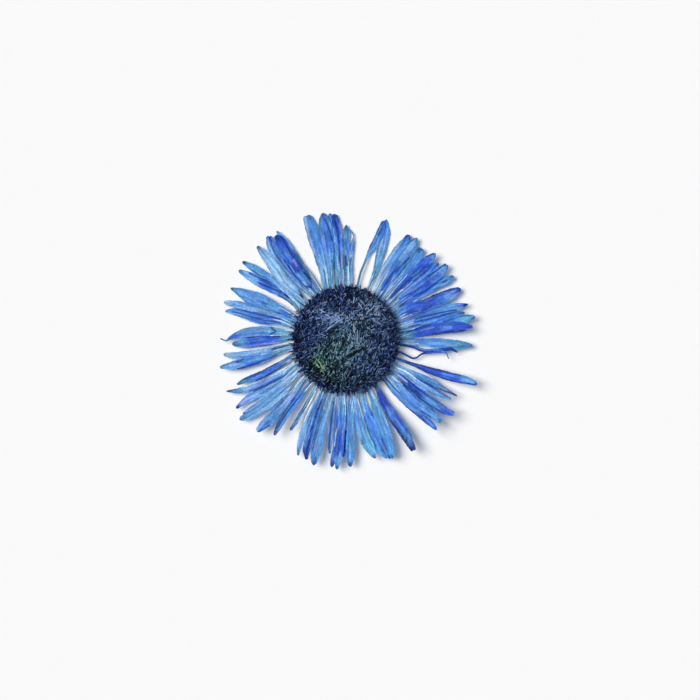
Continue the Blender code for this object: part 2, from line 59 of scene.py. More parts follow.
# Landmarks of each ray from the disc's rim to its tip: grid x, grid y, width. The number is its layer.
RAYS = {
    "ray_01": (0, [(325.5, 286, 4), (323, 271, 6), (319, 257, 7), (315.5, 244, 10.5), (311.5, 230, 12), (308, 218, 9.5), (307.5, 215, 7.5)]),
    "ray_02": (1, [(331, 286, 3), (330.5, 268, 4.2), (329, 256, 6.5), (327.2, 243, 9.2), (325.4, 231, 10), (324.3, 221, 8.5), (323.2, 213, 3.5)]),
    "ray_03": (0, [(336.5, 286, 3.2), (336, 268, 4.5), (335.7, 254, 6.5), (335, 240, 7.5), (333.5, 228, 8), (331, 217, 5), (329.5, 213.5, 2.5)]),
    "ray_04": (1, [(342, 286, 3.2), (341, 268, 4.5), (340.3, 254, 4.8), (340, 240, 5.5), (338.8, 228, 6.2), (336.6, 220, 6.5), (335, 214, 4.2)]),
    "ray_05_06": (0, [(346.8, 286, 3), (346.4, 268, 4), (345.8, 254, 4.6), (345.6, 242, 5.8), (346, 232, 6), (346.2, 225, 1.5)],
                  [(350, 286, 3.2), (350, 268, 3.5), (350.8, 256, 3), (352, 246, 3.2), (353.3, 239, 1.6), (353.6, 235.5, 1.0), (351.8, 232, 1.0), (349.3, 229.3, 1.0)]),
    "ray_07_08": (0, [(357.2, 286.5, 1.8), (360.5, 273, 1.6), (364.8, 262.5, 1.8), (368.2, 254.5, 2.8), (372.4, 247.5, 5), (377, 239.5, 6), (380.8, 230.5, 5.5), (383.2, 221, 2.6)],
                  [(367.5, 289.5, 1.8), (372.3, 279, 3), (376.4, 268.5, 4.6), (379.0, 258, 6.2), (381.3, 249, 7.6), (383.2, 240, 8), (385.2, 230, 7.5), (386.3, 219.5, 3)]),
    "ray_09": (0, [(374, 293, 3.5), (380, 282, 5), (387, 269, 7.5), (395, 257, 9.5), (402, 247, 9), (409.3, 235, 3)]),
    "ray_10": (1, [(379, 295, 3.5), (388, 281, 5), (397, 268, 8), (405, 256, 9.5), (411, 247, 9), (416.8, 238.2, 3)]),
    "ray_11": (0, [(382.5, 297.5, 3.5), (392, 286, 5), (402, 274, 7), (411, 263, 9), (417, 255, 8.5), (422, 248.5, 5)]),
    "ray_12": (1, [(387, 302, 3.5), (397, 291, 5), (408, 280, 7), (419, 270, 8), (428, 261, 8), (435, 253.8, 3)]),
    "ray_13": (0, [(389, 305, 3.5), (400, 295, 5), (412, 285, 7.5), (424, 275, 8), (433, 267.5, 6), (438.5, 263.5, 2.5)]),
    "ray_14": (1, [(392, 308, 3.5), (404, 298, 5), (418, 289, 7.5), (430, 280, 8.5), (440, 272, 8), (447, 265, 4)]),
    "ray_15": (0, [(394, 312, 3.5), (408, 303, 5), (423, 294.5, 8), (437, 286.5, 9), (447, 281, 8), (454, 276.8, 4)]),
    "ray_16": (1, [(397, 319, 3.5), (412, 311, 5.5), (428, 303.5, 8.5), (441, 297.5, 10), (452, 293, 9), (460.7, 289.8, 4)]),
    "ray_17": (0, [(398.5, 325, 3.5), (414, 319.5, 5.5), (430, 314, 7.5), (445, 309.5, 7.5), (458, 306.5, 5.5), (467.5, 304.4, 1.5)]),
    "ray_18": (1, [(399, 329, 3.5), (415, 324.5, 5.5), (431, 319.5, 7), (445, 315.5, 7.5), (456, 313, 6), (464, 312.8, 2)]),
    "ray_19": (0, [(399.6, 333, 3.5), (415, 329.5, 5), (431, 326, 7), (447, 323, 8), (461, 320, 8), (474.5, 316.8, 3)]),
    "ray_20": (1, [(399.8, 338, 3.5), (415, 334.5, 6), (431, 331, 9), (447, 329, 9), (461, 328, 8), (471.8, 327.5, 3)]),
    "ray_21": (0, [(400, 341, 3.5), (415, 341, 6), (430, 341.5, 8), (445, 342.5, 9), (460, 343.8, 8), (472, 345.5, 3)]),
    "ray_22": (1, [(400, 344.5, 2), (409, 346, 2), (415, 347.2, 3), (420, 349.5, 3), (426, 350.6, 2.8), (436, 350.2, 3), (445, 349.5, 3), (451, 349, 2.6), (457, 352, 1.2)],
               [(400, 352, 1.5), (407, 355.5, 1.5), (413, 358.3, 1.5), (417, 357.5, 1.5), (421, 354.5, 1.5), (428, 352.3, 2.4), (441, 351.6, 2.4), (446, 353, 1.2), (448.4, 358.2, 1.0)]),
    "ray_23": (1, [(399, 357.5, 2.5), (415.4, 364.3, 3.5), (433.2, 371.4, 6), (451, 376.8, 6.5), (467, 380.4, 6), (475.7, 384, 3)]),
    "ray_24": (0, [(396.5, 364, 3), (405.3, 369, 4), (413.9, 373.7, 6), (422.5, 377.3, 7), (431.1, 381.6, 8), (439.7, 387.1, 6), (448.3, 391.3, 4), (456.2, 395.5, 1.5)]),
    "ray_25": (1, [(394, 367.5, 3.2), (410, 375, 5.5), (427, 385.5, 8), (440, 394, 6), (450.5, 399, 2)]),
    "ray_26": (0, [(391, 371.5, 3.2), (402.5, 379.5, 6), (418, 392.5, 8), (436, 405.5, 9), (445.5, 411.5, 8.5), (453, 414, 4)]),
    "ray_27": (1, [(388, 375, 3.2), (399.3, 385.7, 5.5), (415.4, 401.8, 8), (429.6, 412.5, 8.5), (440, 421, 4)]),
    "ray_28": (0, [(385, 379.5, 3.2), (394, 390, 5.5), (403, 398.5, 6.5), (412.6, 407, 6.5), (424, 416.6, 6), (430.5, 423, 5.5), (435.4, 428.6, 2.5)]),
    "ray_29": (1, [(377.5, 389, 3), (384, 402, 6), (395.5, 419, 7.5), (406.5, 435, 7.5), (413.8, 449.5, 3.5)]),
    "ray_30": (1, [(369.8, 392.9, 3.5), (375, 403, 6), (381, 418, 8.5), (386.5, 435, 9.5), (390.5, 448, 9), (391.5, 458, 4)]),
    "ray_32": (0, [(361.8, 393, 3), (364.2, 405, 4.5), (368.2, 416.3, 7), (374, 430, 9), (378, 440, 9), (383, 450.4, 8), (387, 457.6, 3)]),
    "ray_31": (1, [(353.75, 393.75, 3), (358.2, 410.7, 5), (363.6, 430.4, 8.5), (370.7, 446.4, 8.5), (375, 457.5, 2.5)]),
    "ray_33": (0, [(353, 394, 2.5), (351.6, 415, 4.5), (351.3, 435, 6.5), (351.3, 450, 8), (350.3, 466, 2.5)],
               [(348.2, 394, 3), (346.8, 418, 5), (346, 438, 5.2), (343.5, 456, 3)]),
    "ray_34_35": (1, [(343, 394, 3), (342.5, 414, 5), (340, 435, 7), (338.5, 452, 7.5), (336.9, 468.5, 2.5)],
                  [(339.5, 394, 3), (339.3, 412, 4.5), (338, 429.7, 4.5), (335.6, 446, 4.2), (333.3, 459, 4.2), (331.8, 466.3, 2.5)]),
    "ray_36": (0, [(335, 393.75, 2.5), (333.2, 414.3, 4.5), (331.4, 432, 3.8), (330.4, 453, 2)]),
    "ray_37": (2, [(330.5, 393.75, 3), (325.2, 417.9, 6), (319.8, 441, 8.5), (316, 455, 8), (313.9, 464.5, 3)]),
    "ray_38": (1, [(324.3, 392.9, 3), (317, 414.3, 7), (310.9, 435.7, 8), (307, 450, 6.5), (306.7, 459, 2)]),
    "ray_39": (0, [(320.7, 392, 3), (312.7, 410.7, 5), (304.6, 432, 5), (301, 445, 4.5), (299.2, 455, 1.5)]),
    "ray_40": (0, [(315.4, 389.3, 2.5), (310, 400, 3.5), (301, 416, 4), (291.3, 430, 2.5)]),
    "ray_41": (1, [(309, 384.5, 3), (300.5, 397.5, 5), (292.5, 408, 5.5), (285.3, 417.8, 5), (279.5, 426.5, 4.5), (275, 434.6, 1.8)]),
    "ray_42": (0, [(304.6, 378.5, 3), (295.7, 390.9, 5.5), (281.4, 408.9, 8), (268.9, 421.4, 8.5), (257.8, 431.2, 4)]),
    "ray_43": (1, [(300, 373, 3), (285, 389.6, 8), (268.9, 402.3, 9.5), (254.6, 413, 8.5), (240.5, 420.2, 3)],
               [(298.5, 371.4, 3), (283, 385.5, 5), (268, 396.5, 5.5), (254, 406.3, 3.5), (243.3, 413.3, 1.5)]),
    "ray_44": (0, [(296.2, 367.6, 3), (281, 382.3, 6), (264.5, 392.2, 8), (255, 396.5, 7.5), (246, 401.2, 5.5), (236.8, 408.3, 1.8)]),
    "ray_45": (1, [(293, 364.5, 2.5), (281, 373.2, 4.5), (267, 380.2, 5.5), (255, 385.6, 5.5), (240.4, 390.5, 4.2), (227, 391.3, 1.2)]),
    "ray_46": (2, [(291.25, 356.25, 3), (284, 361.2, 5), (272.3, 368.4, 6.8), (255, 376.6, 7), (246, 380.3, 6), (238.3, 385.3, 1.5)]),
    "ray_47": (1, [(290.6, 349, 3), (277.9, 353, 5.5), (263.6, 358.6, 9), (245, 362.7, 9), (231, 365.6, 6.5), (220.5, 367.5, 1.8)]),
    "ray_48": (0, [(291.2, 345, 3), (277.9, 347.3, 5), (260, 351.5, 7), (242, 354.5, 6.5), (224, 354.8, 3)]),
    "ray_49": (1, [(291.5, 332.5, 3), (278, 331.5, 6.5), (265, 330.8, 7.5), (252, 331.5, 7.5), (240, 334, 6), (230, 338, 3), (226.2, 340.6, 1.0), (220.8, 338.8, 1.0)]),
    "ray_50": (0, [(291.7, 336.5, 3), (285, 337, 4.5), (273, 338.8, 7), (259.6, 340.6, 8), (246.3, 342.9, 7.5), (232.4, 344.6, 3)]),
    "ray_51": (1, [(292.5, 322, 3), (277.5, 316, 5), (264, 312.5, 6.5), (250.7, 309.4, 6.5), (237.3, 305, 6.5), (224.2, 302.2, 3)]),
    "ray_52": (0, [(292, 326.5, 3), (279.7, 321.9, 6), (264, 319.6, 8), (250.7, 316.5, 7.5), (237.3, 312.5, 5.5), (225.5, 311.4, 2)]),
    "ray_53": (2, [(294, 317.5, 3.5), (285, 312, 6), (275.3, 307.7, 8.5), (264, 302.4, 10.5), (252, 297.8, 11), (241.8, 293, 7.5), (231, 288.3, 2)]),
    "ray_54": (0, [(299, 309.5, 3), (292.5, 301.5, 5), (285, 295, 7.5), (276.6, 289.8, 8.5), (268, 285.5, 8.5), (259.6, 281.3, 8), (250.7, 276.8, 6.5), (238.9, 270.4, 1.8)]),
    "ray_55": (1, [(301.5, 305.8, 2.8), (291, 296, 4.5), (282, 288, 6), (273, 280.4, 7), (261.9, 273, 7.5), (253, 267.5, 6.5), (242.7, 261.7, 2)]),
    "ray_56": (2, [(305, 302, 3.5), (296, 294, 6), (284, 282.5, 9), (277.4, 273.6, 9), (270.7, 264.6, 9), (264, 255.7, 7.5), (257.5, 246.3, 3)]),
    "ray_57": (1, [(311, 296, 3), (302, 288.5, 5), (292.5, 278.5, 7), (284.5, 270, 8), (276.6, 259, 8), (270.8, 247, 7.5), (268, 236, 4.5)]),
    "ray_58": (2, [(316, 293, 3), (306, 281.5, 7), (297.5, 270.8, 9), (290.8, 260, 9), (284.5, 249.5, 8.5), (279.6, 240.9, 7), (275.6, 235.4, 2.5)]),
    "ray_59": (1, [(318.7, 291, 3), (308.2, 273.5, 5), (301.2, 261, 5.5), (295.8, 251, 5.3), (288, 241, 5), (277, 231, 2)]),
}

# Closer readings of single rays: how far the middle lies to the left of the landmarks, in px, at a distance s, and the
# width there. A ray that isn't named follows its landmarks.
FIT = {
    "ray_01": ({0: 0, 30: 0, 50: -.7, 60: -.9, 68: -.4, 75: .5}, {0: 4, 15: 5.5, 30: 6.5, 50: 9.3, 60: 9.4, 68: 7.6, 75: 4.6}),
    "ray_04": ({0: 0, 30: .5, 45: .8, 60: 1.5, 73: 1.2}, {0: 3.2, 18: 4.5, 32: 4.8, 46: 5.4, 58: 6, 66: 6.2, 73: 4.2}),
    "ray_09": ({0: 0, 12: .4, 24: .5, 40: 0}, {0: 2.6, 12: 3.8, 24: 7, 40: 9.5, 55: 8.8, 70: 3}),
    "ray_11": ({0: 0}, {0: 2.6, 12: 3.6, 28: 7, 44: 9, 55: 8.5, 64: 5}),
    "ray_15": ({0: 0, 12: .5, 28: 2.2, 40: 2.3, 50: 1.8, 60: .5, 70: .3}, {0: 2.8, 12: 5, 28: 6.6, 40: 7, 50: 7.2, 60: 6.7, 66: 5, 70: 3}),
    "ray_16": ({0: 1.4, 8: 2.5, 17: 2.3, 26: .6, 35: -1.1, 50: -1.2, 60: -.8, 70: .8}, {0: 4.5, 8: 7, 17: 9, 26: 10, 35: 10, 50: 10.5, 60: 9, 70: 4}),
    "ray_18": ({0: 0, 15: -.5, 30: -2.2, 50: -2.2, 58: -1.5, 66: 0}, {0: 3.5, 15: 5.5, 30: 6.5, 48: 7, 58: 5, 66: 2}),
    "ray_20": ({0: .5, 20: 1.4, 60: 1.2, 73: .4}, {0: 3.2, 15: 6.2, 25: 8.8, 50: 8.8, 62: 8, 73: 3}),
    "ray_21": ({0: -.3, 20: -1, 60: -1.3, 72: -.2}, {0: 3, 10: 4, 20: 5.8, 40: 7.8, 55: 7.6, 66: 5.4, 72: 2.4}),
    "ray_23": ({0: -1.6, 10: -1.4, 20: -.8, 36: -.1, 50: 0, 66: -.1, 82: 0}, {0: 1.8, 10: 2.3, 18: 3.1, 26: 4.3, 36: 5.7, 50: 6.6, 62: 6.8, 72: 5.8, 78: 4.4, 82: 2.6}),
    "ray_24": ({0: 0}, {0: 3, 12: 4.5, 22: 6.5, 32: 7, 42: 6.5, 48: 4.2, 56: 3, 66: 1.3}),
    "ray_25": ({0: 0, 15: -.5, 30: -2.4, 45: -2.2, 55: -1, 66: 0}, {0: 3, 18: 5, 36: 6.3, 48: 6, 58: 4, 66: 1.8}),
    "ray_26": ({0: 0, 15: -.3, 30: -.7, 60: .2, 76: .6}, {0: 3.2, 14: 6, 35: 8.5, 58: 7.6, 66: 6.4, 76: 3}),
    "ray_27": ({0: 0, 30: -.4, 50: -.5, 70: 0}, {0: 3, 15: 5.5, 38: 8.6, 55: 7.6, 70: 3.4}),
    "ray_28": ({0: 0, 20: -.4, 40: -.6, 60: -.5, 70: 0}, {0: 3, 14: 4.8, 27: 5.5, 40: 5.8, 54: 5.8, 62: 5, 70: 2.5}),
    "ray_29": ({0: 0, 20: -.4, 50: -.8, 65: -.8, 71: -.6}, {0: 3, 14: 6.2, 35: 8.4, 52: 8.4, 66: 5.8, 71: 4}),
    "ray_30": ({0: 0, 12: -.3, 28: -1.2, 45: -1.3, 60: -1, 68: -.3}, {0: 3.5, 12: 6, 28: 8.5, 45: 9.5, 58: 8.5, 70: 4}),
    "ray_31": ({0: 0, 15: -.4, 30: -1.2, 48: -2.4, 60: -1.3, 68: 0}, {0: 3, 17: 5.5, 38: 8.8, 54: 9, 60: 6.5, 68: 2.5}),
    "ray_33": ({0: 0, 30: -.6, 60: -.8, 73: 0}, {0: 2.5, 21: 4.5, 41: 6.5, 56: 7.2, 66: 5.5, 73: 2.5}),
    "ray_36": ({0: 0, 20: -.8, 50: -1, 60: -.6}, {0: 2.5, 20: 4.3, 40: 4.3, 60: 2}),
    "ray_37": ({0: 0, 20: -.5, 40: -1, 60: -.8, 73: -.2}, {0: 3, 24: 5.8, 48: 7.6, 62: 7.8, 73: 3}),
    "ray_38": ({0: 0, 30: -.5, 60: -.6, 70: 0}, {0: 3, 22: 7, 45: 7.6, 60: 6, 69: 2}),
    "ray_39": ({0: 0, 15: -.8, 30: -1.5, 60: -1.5, 68: -.8}, {0: 3, 20: 4.5, 43: 4.6, 57: 4.2, 68: 1.5}),
    "ray_40": ({0: -.4, 30: -1, 48: -.6}, {0: 2.3, 12: 3.4, 30: 3.9, 48: 2.5}),
    "ray_41": ({0: 0, 10: -1.2, 35: -1.3, 50: -.8, 62: -.2}, {0: 3, 15: 5.2, 29: 5.5, 41: 5.3, 52: 4.8, 62: 1.8}),
    "ray_42": ({0: 0, 12: -.4, 28: -1, 60: -1.1, 72: -.4}, {0: 3, 14: 4.5, 38: 8.2, 54: 8.6, 64: 7, 72: 3}),
    "ray_43": ({0: 0, 20: 0, 60: -1, 77: -.8}, {0: 2.2, 14: 2.6, 23: 6.5, 42: 9.5, 60: 7.6, 70: 6, 77: 3}),
    "ray_44": ({0: -.3, 20: -1.6, 45: -1.7, 60: -1, 74: -.4}, {0: 2.4, 10: 2.8, 21: 5.6, 41: 7.2, 52: 7, 62: 5.2, 74: 1.8}),
    "ray_46": ({0: .3, 20: .5, 40: .8, 50: .3, 60: -1.4}, {0: 2.8, 9: 4.4, 23: 5.7, 43: 5.9, 52: 4.7, 62: 1.5}),
    "ray_47": ({0: 0, 15: -.2, 30: -.7, 50: 0, 62: .2, 74: -.2}, {0: 2.2, 14: 2.8, 22: 5, 30: 7, 48: 8.4, 60: 7.2, 74: 1.8}),
    "ray_48": ({0: -.3, 14: .6, 35: 1.5, 60: 1, 68: -.2}, {0: 2.4, 14: 3.6, 32: 6.2, 50: 7, 60: 5.5, 68: 2.6}),
    "ray_50": ({0: -.2, 15: 0, 45: 0, 61: -.6}, {0: 3.4, 7: 5.8, 19: 8.6, 32: 9.2, 46: 8.4, 61: 3}),
    "ray_51": ({0: 0, 10: -1.3, 45: -1.4, 58: -.5, 72: 0}, {0: 2.4, 16: 4.2, 30: 4.5, 44: 5, 58: 6.3, 72: 3}),
    "ray_52": ({0: 0, 15: -.6, 30: -.9, 58: -1, 68: -.4}, {0: 3, 13: 6.5, 29: 9, 43: 9, 57: 6.8, 69: 2}),
    "ray_54": ({0: 0}, {0: 3, 12: 5, 22: 7, 32: 8.5, 42: 8.5, 52: 8, 62: 6.5, 75: 1.8}),
    "ray_55": ({0: 0, 15: -.7, 40: -.6, 55: .4, 75: 0}, {0: 2.6, 15: 3.6, 26: 4, 38: 4.8, 52: 6.2, 62: 6.3, 75: 2}),
    "ray_56": ({0: 0, 15: -.8, 40: -1, 60: -.9, 73: 0}, {0: 3, 12: 6, 28: 8.4, 40: 8.6, 51: 8.6, 62: 7, 73: 2.6}),
    "ray_57": ({0: 0, 12: -1, 45: -1.3, 60: -.9, 75: -.4}, {0: 2.6, 12: 4.6, 26: 6.3, 38: 6.6, 50: 6.8, 64: 7.4, 76: 4.5}),
    "ray_58": ({0: 0, 40: -.2, 70: -.2}, {0: 3, 15: 7.5, 29: 9.5, 42: 9.6, 54: 9, 64: 8, 71: 2.8}),
    "ray_59": ({0: -.2, 9: .4, 20: 1.5, 32: 2.5, 44: 3, 57: 2, 74: .3}, {0: 3.6, 20: 5.8, 35: 4.6, 46: 3.8, 60: 3.6, 74: 1.8}),
}

# ---------------------------------------------------------------- dye
# Named tones of the dyed tissue, as 0-255 display values.
TONES = {
    "sky": (114, 166, 221), "pale": (150, 190, 230), "azure": (86, 146, 209), "cobalt": (64, 120, 210),
    "royal": (40, 88, 198), "electric": (44, 86, 216), "violet": (54, 78, 192), "indigo": (38, 56, 164),
    "navy": (13, 44, 128), "ink": (11, 26, 76), "teal": (80, 146, 176), "dteal": (40, 96, 128), "aqua": (98, 170, 214),
    "lilac": (156, 172, 226), "peri": (106, 142, 219), "slate": (74, 116, 168), "mist": (172, 197, 228),
    "moss": (84, 120, 124), "plum": (84, 70, 140), "white": (216, 232, 248), "cyan": (84, 168, 196),
}


def linear(rgb255):
    c = np.asarray(rgb255, float) / 255.0
    return np.where(c <= 0.04045, c / 12.92, ((c + 0.055) / 1.055) ** 2.4)


TONE = {name: linear(rgb) / 0.98 for name, rgb in TONES.items()}

